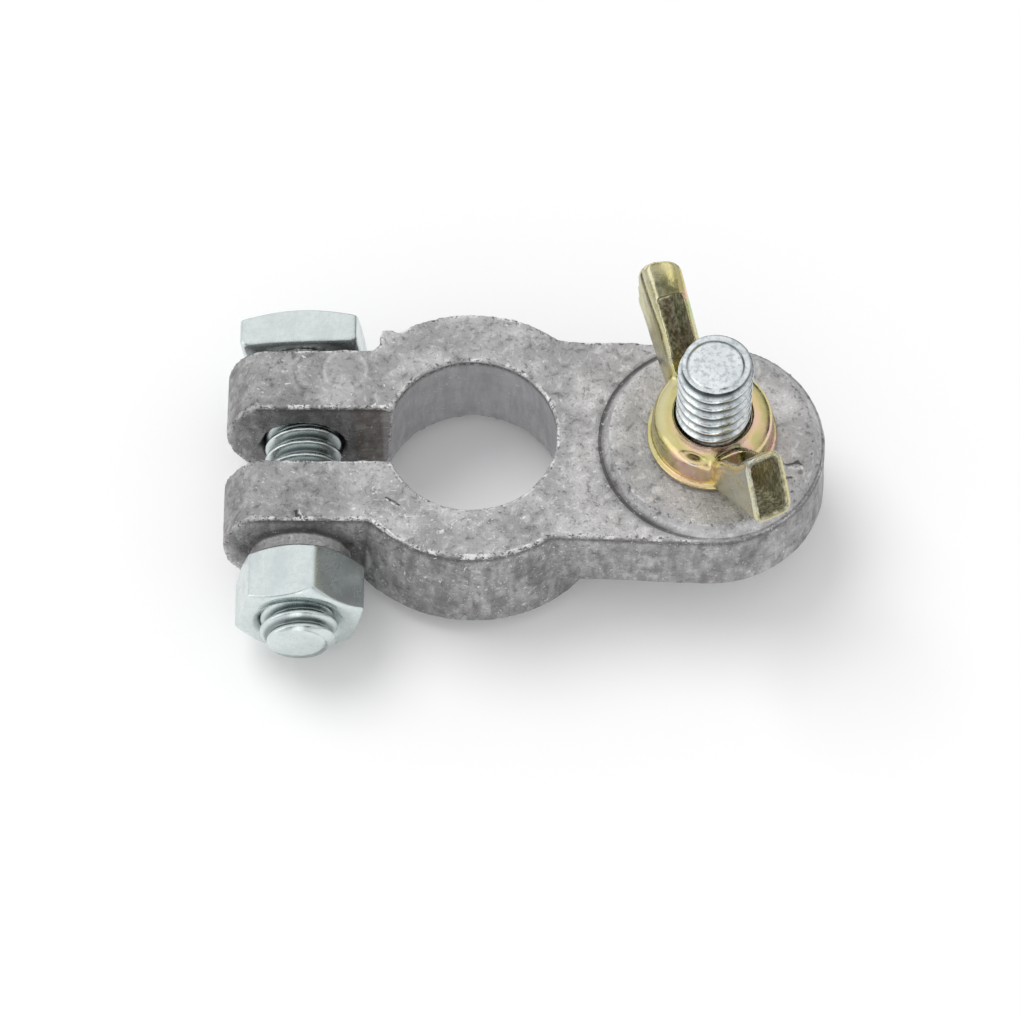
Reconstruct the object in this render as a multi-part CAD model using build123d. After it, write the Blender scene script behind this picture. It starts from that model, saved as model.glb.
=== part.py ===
"""Battery terminal clamp: split lead collar with two ears, pinch bolt and nut, stud and wing nut.

Millimetres, +Z up. The origin is on the post bore's axis at the collar's bottom face.
+X runs from the split towards the stud, +Y towards the pinch bolt's head.
"""
import os
from math import cos, radians, sin, sqrt, tan

from build123d import *

# Collar, a thick ring with draft on its outside and the post's taper inside
COLLAR_H = 13.5
COLLAR_TOP_R = 15.05
COLLAR_BOTTOM_R = 15.95
COLLAR_EDGE = 0.6
BORE_TOP_R = 9.1
POST_TAPER = 1.0 / 9.0
BORE_BOTTOM_R = BORE_TOP_R + COLLAR_H * POST_TAPER / 2.0
BORE_EDGE = 0.25

# Ears on each side of the slot
SLOT_W = 6.4
EAR_T = 7.25
EAR_END_R = 8.3
EAR_OUT_Y = SLOT_W / 2.0 + EAR_T
BOLT_OUT = 3.4
BOLT_X = -(COLLAR_TOP_R + BOLT_OUT)
BOLT_Z = 5.4
BOLT_HOLE_R = 4.6
SEAT_R = 5.35
SEAT_H = 1.9
SHOULDER_X = -9.9
SHOULDER_ANGLE = 44.0
NIB_X = -9.1
NIB_W = 1.9
NIB_OUT = 2.5
NIB_FOOT_Z = 3.0

# Tongue, turned a little from the ears' centre line, with a round pad for the cable eye
TONGUE_TURN = -2.0
TONGUE_HALF_W = 12.1
TONGUE_T = 9.5
TONGUE_DRAFT = 2.5
TONGUE_EDGE = 0.9
STUD_OUT = 10.7
STUD_DIST = COLLAR_TOP_R + STUD_OUT
TONGUE_END_DIST = STUD_DIST + 0.05
PAD_R = 11.75
PAD_TOP_R = 10.9
PAD_H = 1.4

# Terminal stud
STUD_R = 4.0
STUD_TOP_Z = 29.9
STUD_POINT_R = 2.75
STUD_POINT_H = 0.3
STUD_PITCH = 1.65
STUD_THREAD_DEPTH = 0.8
STUD_THREAD_Z = 15.5
STUD_HEAD_AF = 12.7
STUD_HEAD_H = 5.2
SEAT_CLEAR = 0.05

# Wing nut, pressed from sheet
SHEET = 0.65
NUT_FLANGE_R = 7.0
NUT_SKIRT_R = 6.5
NUT_CROWN_R = 4.9
NUT_CROWN_Z = 5.1
NUT_FLANGE_Z = 0.4
NUT_FLANGE_T = 0.55
THREAD_CLEAR = 0.05
WING_AZ = 26.0
WING_T = 4.3
WING_TIP_TOP = (12.3, 16.2)
WING_BACK_LOW = (13.8, 7.6)
WING_FRONT_LOW = (15.0, 8.2)
WING_FRONT_SIDE = -0.9
WING_ROOT_TOP = (4.75, 4.6)
WING_ROOT_LOW = (7.1, 0.75)
WING_ROUND = 1.2
WING_INNER_ROUND = 0.35
WING_CAP_ROUND = 1.8
SEAM_W = 2.6
SEAM_START = 1.3
SEAM_LIP = 3.9

# Pinch bolt with a square head, and its hexagon nut
BOLT_R = 4.2
BOLT_HEAD_AF = 13.0
BOLT_HEAD_H = 4.25
BOLT_HEAD_SLOPE = 20.0
BOLT_HEAD_TURN = 5.5
BOLT_END_Y = -21.35
BOLT_POINT_R = 3.35
BOLT_POINT_H = 0.75
BOLT_PITCH = 1.6
BOLT_THREAD_DEPTH = 0.9
BOLT_THREAD_START = 3.0
NUT_AF = 12.75
NUT_H = 6.35
NUT_TURN = 16.3
NUT_MOUTH_R = 4.95

SEAT_Y = EAR_OUT_Y + SEAT_H
PAD_TOP_Z = COLLAR_H + PAD_H
STUD_X = STUD_DIST * cos(radians(TONGUE_TURN))
STUD_Y = STUD_DIST * sin(radians(TONGUE_TURN))
TONGUE_BOTTOM_Z = COLLAR_H - TONGUE_T


def ring_of(points):
    """Solid of revolution about Z from (r, z) points."""
    return revolve(make_face(Polyline(*[(r, 0, z) for r, z in points], close=True)), Axis.Z)


def along_y(shape_2d, y_from, y_to):
    """Prism along Y from a sketch drawn in x and z."""
    face = Plane(origin=(0, y_from, 0), x_dir=(1, 0, 0), z_dir=(0, -1, 0)) * shape_2d
    return extrude(face, amount=y_to - y_from, dir=(0, 1, 0))


def grooved(radius, pitch, depth, start, stop):
    """Profile points (r, z) of a rod's wall with one V groove per pitch, from start up to stop."""
    points = []
    count = int((stop - start - 0.9 * pitch) / pitch) + 1
    for k in range(count):
        z = start + (k + 0.5) * pitch
        points += [(radius, z - 0.42 * pitch), (radius - depth, z - 0.06 * pitch),
                   (radius - depth, z + 0.06 * pitch), (radius, z + 0.42 * pitch)]
    return points


def collar_body():
    """The drafted ring without its bore."""
    return ring_of([
        (0, 0), (COLLAR_BOTTOM_R - COLLAR_EDGE, 0), (COLLAR_BOTTOM_R, COLLAR_EDGE),
        (COLLAR_TOP_R, COLLAR_H), (0, COLLAR_H),
    ])


def ear_block():
    """Both ears as one block with round ends, before the slot is cut."""
    end = Pos(BOLT_X, COLLAR_H / 2) * Circle(EAR_END_R)
    reach = abs(BOLT_X) - 4.0
    arm = Pos(BOLT_X + reach / 2, COLLAR_H / 2) * Rectangle(reach, COLLAR_H)
    band = Pos(BOLT_X, COLLAR_H / 2) * Rectangle(60, COLLAR_H)
    return along_y((end & band) + arm, -EAR_OUT_Y, EAR_OUT_Y)


def shoulders():
    """Slanted webs that carry the ears' outer faces into the ring."""
    rise = 3.3
    run = rise / tan(radians(SHOULDER_ANGLE))
    y_top = EAR_OUT_Y + rise
    half = [(SHOULDER_X, EAR_OUT_Y), (SHOULDER_X + run, y_top), (-1.0, y_top), (-1.0, -y_top),
            (SHOULDER_X + run, -y_top), (SHOULDER_X, -EAR_OUT_Y)]
    web = extrude(make_face(Polyline(*half, close=True)), amount=COLLAR_H)
    limit = ring_of([(0, 0), (COLLAR_BOTTOM_R + 0.35, 0), (COLLAR_TOP_R + 0.35, COLLAR_H),
                     (0, COLLAR_H)])
    return web & limit


def bolt_seats():
    """Round cast seats for the square head and the nut."""
    seat = Pos(BOLT_X, BOLT_Z) * Circle(SEAT_R)
    return along_y(seat, -SEAT_Y, -EAR_OUT_Y + 0.5) + along_y(seat, EAR_OUT_Y - 0.5, SEAT_Y)


def stop_nib():
    """Small lug beside the square head that keeps it from turning."""
    size_y = NIB_OUT + 1.5
    tall = COLLAR_H - NIB_FOOT_Z
    lug = Pos(NIB_X, EAR_OUT_Y + NIB_OUT - size_y / 2, NIB_FOOT_Z + tall / 2) * Box(NIB_W, size_y, tall)
    return fillet(lug.edges().filter_by(Axis.Z).sort_by(Axis.Y)[-2:], 0.5)


def tongue():
    """Drafted tongue with a round end, from the ring's middle to past the stud."""
    grow = TONGUE_T * tan(radians(TONGUE_DRAFT))
    half = TONGUE_HALF_W + grow
    plan = Pos(TONGUE_END_DIST / 2, 0) * Rectangle(TONGUE_END_DIST, 2 * half)
    plan += Pos(TONGUE_END_DIST, 0) * Circle(half)
    solid = extrude(Pos(0, 0, TONGUE_BOTTOM_Z) * plan, amount=TONGUE_T, taper=TONGUE_DRAFT)
    low = solid.faces().sort_by(Axis.Z)[0].edges()
    outer = low.filter_by(lambda e: e.center().X > 2.0)
    solid = fillet(outer, TONGUE_EDGE)
    pad = Pos(STUD_DIST, 0, COLLAR_H + PAD_H / 2) * Cone(PAD_R, PAD_TOP_R, PAD_H)
    return Rot(0, 0, TONGUE_TURN) * (solid + pad)


def post_bore():
    """The tapered hole for the battery's post, with softened mouths."""
    low = BORE_BOTTOM_R + 2.0 * POST_TAPER / 2.0
    high = BORE_TOP_R - 2.0 * POST_TAPER / 2.0
    cone = ring_of([(0, -2.0), (low, -2.0), (high, COLLAR_H + 2.0), (0, COLLAR_H + 2.0)])
    mouth = BORE_TOP_R + BORE_EDGE
    top = ring_of([(0, COLLAR_H - BORE_EDGE), (BORE_TOP_R, COLLAR_H - BORE_EDGE),
                   (mouth, COLLAR_H), (mouth, COLLAR_H + 1), (0, COLLAR_H + 1)])
    return cone + top


def stud_pocket():
    """Hexagon pocket under the tongue and the shank's hole above it."""
    radius = (STUD_HEAD_AF / 2 + SEAT_CLEAR) / cos(radians(30))
    head = extrude(Pos(0, 0, TONGUE_BOTTOM_Z - 2) * RegularPolygon(radius, 6), STUD_HEAD_H + 2)
    shank = Pos(0, 0, COLLAR_H / 2) * Cylinder(STUD_R + SEAT_CLEAR, 3 * COLLAR_H)
    return Pos(STUD_X, STUD_Y, 0) * Rot(0, 0, TONGUE_TURN) * (head + shank)


def clamp_body():
    """The lead casting: collar, ears, shoulders, seats, nib, tongue and pad."""
    body = collar_body() + ear_block() + shoulders() + tongue() + bolt_seats() + stop_nib()
    body -= post_bore()
    slot_reach = abs(BOLT_X) + EAR_END_R + 5.0
    body -= Pos(-slot_reach / 2, 0, COLLAR_H / 2) * Box(slot_reach, SLOT_W, 3 * COLLAR_H)
    body -= along_y(Pos(BOLT_X, BOLT_Z) * Circle(BOLT_HOLE_R), -40, 40)
    body -= stud_pocket()
    return body


def terminal_stud():
    """Hexagon-headed stud that stands up through the tongue."""
    head_r = STUD_HEAD_AF / 2 / cos(radians(30))
    head = extrude(Pos(0, 0, TONGUE_BOTTOM_Z) * RegularPolygon(head_r, 6), STUD_HEAD_H)
    dome = ring_of([
        (0, TONGUE_BOTTOM_Z), (STUD_HEAD_AF / 2 - 0.4, TONGUE_BOTTOM_Z),
        (head_r + 0.2, TONGUE_BOTTOM_Z + 0.9), (head_r + 0.2, 20), (0, 20),
    ])
    shank = ring_of([
        (0, TONGUE_BOTTOM_Z + 1), (STUD_R, TONGUE_BOTTOM_Z + 1),
        *grooved(STUD_R, STUD_PITCH, STUD_THREAD_DEPTH, STUD_THREAD_Z, STUD_TOP_Z - STUD_POINT_H),
        (STUD_R, STUD_TOP_Z - STUD_POINT_H),
        (STUD_POINT_R, STUD_TOP_Z), (0, STUD_TOP_Z),
    ])
    return Pos(STUD_X, STUD_Y, 0) * Rot(0, 0, TONGUE_TURN) * ((head & dome) + shank)


def nut_hub():
    """Domed sheet hub: flange, skirt, crown and the drawn thread neck that stands on the pad."""
    neck, crown, skirt = STUD_R + THREAD_CLEAR, NUT_CROWN_Z, NUT_SKIRT_R
    ledge = NUT_FLANGE_Z + NUT_FLANGE_T
    return ring_of([
        (neck, 0.0), (neck, crown - 0.35), (neck + 0.2, crown), (NUT_CROWN_R, crown),
        (NUT_CROWN_R + 0.65, crown - 0.15), (skirt - 0.45, crown - 0.45), (skirt - 0.12, crown - 0.9),
        (skirt, crown - 1.4), (skirt, ledge + 0.25), (skirt - 0.15, ledge), (NUT_FLANGE_R, ledge),
        (NUT_FLANGE_R, NUT_FLANGE_Z), (skirt - SHEET, NUT_FLANGE_Z), (skirt - SHEET, crown - 1.5),
        (NUT_CROWN_R + 0.4, crown - SHEET - 0.1), (neck + SHEET, crown - SHEET - 0.1), (neck + SHEET, 0.0),
    ])


def wing_outline(tip_low, inset):
    """The wing's side view moved inwards by inset, as (r, z) corners."""
    (ax, az), (bx, bz) = WING_ROOT_TOP, WING_TIP_TOP
    (cx, cz), (dx, dz) = tip_low, WING_ROOT_LOW
    top_l = sqrt((bx - ax) ** 2 + (bz - az) ** 2)
    low_l = sqrt((cx - dx) ** 2 + (cz - dz) ** 2)
    tn = ((bz - az) / top_l * inset, -(bx - ax) / top_l * inset)
    ln = (-(cz - dz) / low_l * inset, (cx - dx) / low_l * inset)
    return [(ax + tn[0], az + tn[1]), (bx + tn[0], bz + tn[1]),
            (cx + ln[0], cz + ln[1]), (dx + ln[0], dz + ln[1])]


def plate_of(corners, width):
    """Prism across the wing from (r, z) corners, r along +X."""
    face = make_face(Polyline(*[(r, 0, z) for r, z in corners], close=True))
    return extrude(face, amount=width / 2, both=True)


def wing(tip_low):
    """One hollow wing along +X, open at its outer end, slotted along its inner side, round at the top."""
    solid = plate_of(wing_outline(tip_low, 0.0), WING_T)
    long_edges = [e for e in solid.edges()
                  if abs(e.tangent_at(0.5).Y) < 0.1 and e.length > 8.9]
    solid = fillet(long_edges, WING_ROUND)
    hollow = plate_of(wing_outline(tip_low, SHEET), WING_T - 2 * SHEET)
    long_in = [e for e in hollow.edges()
               if abs(e.tangent_at(0.5).Y) < 0.1 and e.length > 8.9]
    hollow = fillet(long_in, WING_INNER_ROUND)
    (bx, bz), (cx, cz) = WING_TIP_TOP, tip_low
    end_l = sqrt((cx - bx) ** 2 + (cz - bz) ** 2)
    out = ((bz - cz) / end_l, (cx - bx) / end_l)
    open_end = hollow + Pos(out[0] * 1.0, 0, out[1] * 1.0) * hollow
    (ax, az) = WING_ROOT_TOP
    top_l = sqrt((bx - ax) ** 2 + (bz - az) ** 2)
    ux, uz = (bx - ax) / top_l, (bz - az) / top_l
    nx, nz = -uz, ux
    start, stop = SEAM_START, top_l - SEAM_LIP
    seam = plate_of([
        (ax + ux * start + nx, az + uz * start + nz), (ax + ux * stop + nx, az + uz * stop + nz),
        (ax + ux * stop - nx * 1.6, az + uz * stop - nz * 1.6),
        (ax + ux * start - nx * 1.6, az + uz * start - nz * 1.6),
    ], SEAM_W)
    face_on = Plane(origin=(bx, 0, bz), x_dir=(ux, 0, uz), z_dir=(nx, 0, nz))
    shape = Rectangle(2 * top_l + 8, WING_T + 0.02)
    shape = Pos(-top_l - 4, 0) * fillet(shape.vertices(), WING_CAP_ROUND)
    cap = extrude(face_on * shape, amount=14, both=True)
    return (solid - open_end - seam) & cap


def wing_nut():
    """Pressed wing nut on the pad, wings opposite each other."""
    crown = NUT_CROWN_Z
    keep_out = ring_of([(0, -1), (NUT_SKIRT_R - 0.1, -1), (NUT_SKIRT_R - 0.1, crown - 1.5),
                        (NUT_SKIRT_R - 0.6, crown - 0.7), (NUT_CROWN_R, crown - 0.3),
                        (STUD_R + 0.5, crown - 0.2), (STUD_R + 0.5, 30), (0, 30)])
    back = wing(WING_BACK_LOW) - keep_out
    front = Pos(0, WING_FRONT_SIDE, 0) * wing(WING_FRONT_LOW) - keep_out
    nut = nut_hub() + back + Rot(0, 0, 180) * front
    return Pos(STUD_X, STUD_Y, PAD_TOP_Z) * Rot(0, 0, 90 + WING_AZ) * nut


def pinch_bolt():
    """Square-headed bolt through both ears, head against the rear seat."""
    square = Pos(BOLT_X, BOLT_Z) * Rot(0, 0, BOLT_HEAD_TURN) * Rectangle(BOLT_HEAD_AF, BOLT_HEAD_AF)
    head = along_y(square, SEAT_Y, SEAT_Y + BOLT_HEAD_H)
    corner = BOLT_HEAD_AF / 2 * sqrt(2)
    crown_h = (corner - BOLT_HEAD_AF / 2 + 0.3) * tan(radians(BOLT_HEAD_SLOPE))
    crown = ring_of([(0, -1), (corner + 0.1, -1), (corner + 0.1, BOLT_HEAD_H - crown_h),
                     (BOLT_HEAD_AF / 2 - 0.3, BOLT_HEAD_H), (0, BOLT_HEAD_H)])
    head &= Pos(BOLT_X, SEAT_Y, BOLT_Z) * Rot(-90, 0, 0) * crown
    length = SEAT_Y - BOLT_END_Y
    point_z = length - BOLT_POINT_H
    shank = ring_of([(0, -1), (BOLT_R, -1),
                     *grooved(BOLT_R, BOLT_PITCH, BOLT_THREAD_DEPTH, BOLT_THREAD_START, point_z),
                     (BOLT_R, point_z), (BOLT_POINT_R, length), (0, length)])
    return head + Pos(BOLT_X, SEAT_Y, BOLT_Z) * Rot(90, 0, 0) * shank


def pinch_nut():
    """Hexagon nut against the front seat, chamfered on both faces."""
    corner = NUT_AF / 2 / cos(radians(30))
    hexa = Pos(BOLT_X, BOLT_Z) * Rot(0, 0, NUT_TURN) * RegularPolygon(corner, 6)
    nut = along_y(hexa, -SEAT_Y - NUT_H, -SEAT_Y)
    drop = (corner - NUT_AF / 2 + 0.25) * tan(radians(30))
    flat = NUT_AF / 2 - 0.25
    barrel = ring_of([(0, 0), (flat, 0), (corner + 0.02, drop), (corner + 0.02, NUT_H - drop),
                      (flat, NUT_H), (0, NUT_H)])
    bore_r = BOLT_R + THREAD_CLEAR
    lead_in = NUT_MOUTH_R - bore_r
    bore = ring_of([(0, -1), (NUT_MOUTH_R, -1), (NUT_MOUTH_R, 0), (bore_r, lead_in),
                    (bore_r, NUT_H - lead_in), (NUT_MOUTH_R, NUT_H), (NUT_MOUTH_R, NUT_H + 1),
                    (0, NUT_H + 1)])
    place = Pos(BOLT_X, -SEAT_Y, BOLT_Z) * Rot(90, 0, 0)
    return (nut & place * barrel) - place * bore


def main():
    """Build every node and write one STEP file each."""
    os.makedirs("parts", exist_ok=True)
    nodes = {
        "clamp_body": clamp_body(),
        "terminal_stud": terminal_stud(),
        "wing_nut": wing_nut(),
        "pinch_bolt": pinch_bolt(),
        "pinch_nut": pinch_nut(),
    }
    for name, shape in nodes.items():
        export_step(shape, f"parts/{name}.step")
        box = shape.bounding_box()
        print(name, "solids", len(shape.solids()), "volume", round(shape.volume, 1),
              "box", tuple(round(v, 2) for v in (*box.min, *box.max)))


main()
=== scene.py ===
"""Battery terminal clamp: cast lead collar, plated pinch bolt and nut, threaded stud, pressed wing nut.

The meshes are worked out in millimetres and written in metres, the shaders read metres, and +Z is up.
The origin is on the post bore's axis at the collar's bottom face, +X runs towards the stud and +Y
towards the pinch bolt's square head.
"""
import functools
import logging
import math
from dataclasses import dataclass

import bmesh
import bpy
import numpy as np
from mathutils import Matrix, Vector


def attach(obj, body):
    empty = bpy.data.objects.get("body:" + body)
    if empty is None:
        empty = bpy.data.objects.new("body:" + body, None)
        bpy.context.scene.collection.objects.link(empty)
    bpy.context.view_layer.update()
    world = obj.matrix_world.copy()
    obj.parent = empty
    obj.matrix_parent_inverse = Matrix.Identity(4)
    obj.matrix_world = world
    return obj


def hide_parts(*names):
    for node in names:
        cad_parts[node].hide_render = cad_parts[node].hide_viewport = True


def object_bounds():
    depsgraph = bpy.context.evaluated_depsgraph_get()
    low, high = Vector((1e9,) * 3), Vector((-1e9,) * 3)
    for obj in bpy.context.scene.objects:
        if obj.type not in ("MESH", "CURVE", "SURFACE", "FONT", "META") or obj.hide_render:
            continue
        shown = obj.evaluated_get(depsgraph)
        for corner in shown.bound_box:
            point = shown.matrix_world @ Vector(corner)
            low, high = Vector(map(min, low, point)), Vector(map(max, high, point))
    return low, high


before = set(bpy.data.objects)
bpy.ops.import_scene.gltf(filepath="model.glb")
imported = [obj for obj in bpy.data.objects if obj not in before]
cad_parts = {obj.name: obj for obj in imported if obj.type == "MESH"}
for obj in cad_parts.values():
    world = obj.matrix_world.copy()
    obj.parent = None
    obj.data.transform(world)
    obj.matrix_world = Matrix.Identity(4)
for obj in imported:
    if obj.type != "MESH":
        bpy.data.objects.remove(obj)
CAD_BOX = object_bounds()

LOG = logging.getLogger("clamp")
MM = 0.001
BOLT_X, BOLT_Z = -18.45, 5.4
STUD_X, STUD_Y = 25.734, -0.899
BOX_FACES = ((0, 1, 2, 3), (4, 5, 6, 7), (0, 1, 5, 4), (1, 2, 6, 5), (2, 3, 7, 6), (3, 0, 4, 7))
Spot = tuple[float, float]
Triple = tuple[float, float, float]
Colour = Triple
Stroke = tuple[Spot, Spot, float]
Socket = bpy.types.NodeSocket
WHITE: Colour = (1.0, 1.0, 1.0)


class Wiring:
    """Adds nodes to one shader or geometry tree and links them by short calls."""

    def __init__(self, tree: bpy.types.NodeTree) -> None:
        """Starts on an empty tree.

        Args:
            tree: the tree that receives the nodes.
        """
        self.tree = tree

    def feed(self, socket: bpy.types.NodeSocket, value: object) -> None:
        """Links a socket to another one, or writes a constant on it.

        Args:
            socket: the input to fill.
            value: an output socket, or the constant.
        """
        if isinstance(value, bpy.types.NodeSocket):
            self.tree.links.new(value, socket)
        elif socket.type == "RGBA" and len(value) == 3:
            socket.default_value = (*value, 1.0)
        else:
            socket.default_value = value

    def add(self, kind: str, inputs: dict | None = None, **settings: object) -> bpy.types.Node:
        """Adds one node.

        Args:
            kind: the node's type name.
            inputs: input name or index to constant or socket.
            **settings: properties of the node.

        Returns:
            The new node.
        """
        made = self.tree.nodes.new(kind)
        for key, value in settings.items():
            setattr(made, key, value)
        self.fill(made, inputs or {})
        return made

    def math(self, operation: str, *values: object, clamp: bool = False) -> Socket:
        """Adds a Math node.

        Args:
            operation: the operation's name.
            *values: its operands.
            clamp: keeps the result between 0 and 1.

        Returns:
            The value socket.
        """
        made = self.add("ShaderNodeMath", dict(enumerate(values)), operation=operation, use_clamp=clamp)
        return made.outputs[0]

    def chain(self, operation: str, values: tuple[object, ...]) -> Socket:
        """Joins values from left to right by one operation.

        Args:
            operation: the operation's name.
            values: two or more operands.

        Returns:
            The value socket.
        """
        return functools.reduce(lambda done, value: self.math(operation, done, value), values)

    def plus(self, *values: object) -> Socket:
        """Sum of the values."""
        return self.chain("ADD", values)

    def times(self, *values: object) -> Socket:
        """Product of the values."""
        return self.chain("MULTIPLY", values)

    def most(self, *values: object) -> Socket:
        """Largest of the values."""
        return self.chain("MAXIMUM", values)

    def minus(self, first: object, second: object) -> Socket:
        """First value less the second."""
        return self.math("SUBTRACT", first, second)

    def size(self, value: object) -> Socket:
        """Value without its sign."""
        return self.math("ABSOLUTE", value)

    def hypot(self, first: object, second: object) -> Socket:
        """Length of a flat vector."""
        return self.math("SQRT", self.plus(self.times(first, first), self.times(second, second)))

    def attribute(self, name: str) -> Socket:
        """Number that the mesh keeps for each vertex under a name."""
        return self.add("ShaderNodeAttribute", None, attribute_name=name).outputs["Fac"]

    def grey(self, value: object) -> Socket:
        """Colour with one value in all its channels."""
        return self.add("ShaderNodeCombineXYZ", dict.fromkeys(range(3), value)).outputs[0]

    def fill(self, node: bpy.types.Node, inputs: dict) -> None:
        """Feeds inputs of a node by name or index."""
        for key, value in inputs.items():
            self.feed(node.inputs[key], value)

    def relief(self, shader: bpy.types.Node, height: object, distance: float, strength: float) -> None:
        """Bends a shader's normal by a height pattern.

        Args:
            shader: the shader.
            height: the pattern.
            distance: height in metres that a pattern value of 1 stands for.
            strength: share of the effect.
        """
        bump = self.add("ShaderNodeBump", {"Height": height, "Distance": distance, "Strength": strength})
        self.feed(shader.inputs["Normal"], bump.outputs[0])

    def mix(self, factor: object, low: object, high: object, blend: str = "MIX") -> Socket:
        """Mixes two colours.

        Args:
            factor: share of the second colour.
            low: first colour.
            high: second colour.
            blend: blend mode.

        Returns:
            The colour socket.
        """
        made = self.add("ShaderNodeMix", {"Factor": factor, 6: low, 7: high}, data_type="RGBA",
                        blend_type=blend)
        return made.outputs[2]

    def spread(self, value: object, low: float, high: float, to_low: float = 0.0, to_high: float = 1.0,
               smooth: bool = True) -> Socket:
        """Maps a value's range onto another one, clamped.

        Args:
            value: what is mapped.
            low: input at which the result is to_low.
            high: input at which the result is to_high.
            to_low: result at low.
            to_high: result at high.
            smooth: eases both ends.

        Returns:
            The mapped value.
        """
        made = self.add("ShaderNodeMapRange", {0: value, 1: low, 2: high, 3: to_low, 4: to_high},
                        interpolation_type="SMOOTHSTEP" if smooth else "LINEAR")
        return made.outputs[0]

    def noise(self, vector: object, scale: float, detail: float = 2.0, rough: float = 0.5,
              distort: float = 0.0) -> Socket:
        """Adds fractal noise.

        Args:
            vector: the coordinates.
            scale: cells to a metre of the coordinates.
            detail: octaves.
            rough: weight of the finer octaves.
            distort: how far the pattern is warped.

        Returns:
            The noise value from 0 to 1.
        """
        made = self.add("ShaderNodeTexNoise", {"Vector": vector, "Scale": scale, "Detail": detail,
                                               "Roughness": rough, "Distortion": distort})
        return made.outputs[0]

    def place(self, vector: object, scale: Triple = (1.0, 1.0, 1.0), turn: float = 0.0,
              shift: Triple = (0.0, 0.0, 0.0)) -> Socket:
        """Turns and stretches coordinates.

        Args:
            vector: the coordinates.
            scale: stretch along each axis.
            turn: turn about Z in degrees.
            shift: offset added last.

        Returns:
            The new coordinates.
        """
        turned = self.add("ShaderNodeMapping", {"Vector": vector,
                                                "Rotation": (0.0, 0.0, math.radians(turn))})
        made = self.add("ShaderNodeMapping", {"Vector": turned.outputs[0], "Scale": scale,
                                              "Location": shift})
        return made.outputs[0]

    def ramp(self, factor: object, stops: list[tuple[float, Colour]]) -> Socket:
        """Adds a colour ramp.

        Args:
            factor: position on the ramp.
            stops: position and colour of each stop.

        Returns:
            The colour socket.
        """
        made = self.add("ShaderNodeValToRGB", {0: factor})
        band = made.color_ramp
        while len(band.elements) < len(stops):
            band.elements.new(0.5)
        for element, (spot, colour) in zip(band.elements, stops):
            element.position = spot
            element.color = (*colour, 1.0)
        return made.outputs[0]


def new_material(name: str) -> tuple[bpy.types.Material, Wiring, bpy.types.Node, Socket]:
    """Makes a material with a Principled shader.

    Args:
        name: the material's name.

    Returns:
        The material, its wiring, its shader and the Object coordinates.
    """
    material = bpy.data.materials.new(name)
    material.use_nodes = True
    wiring = Wiring(material.node_tree)
    shader = next(n for n in material.node_tree.nodes if n.type == "BSDF_PRINCIPLED")
    spot = wiring.add("ShaderNodeTexCoord").outputs["Object"]
    return material, wiring, shader, spot


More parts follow.
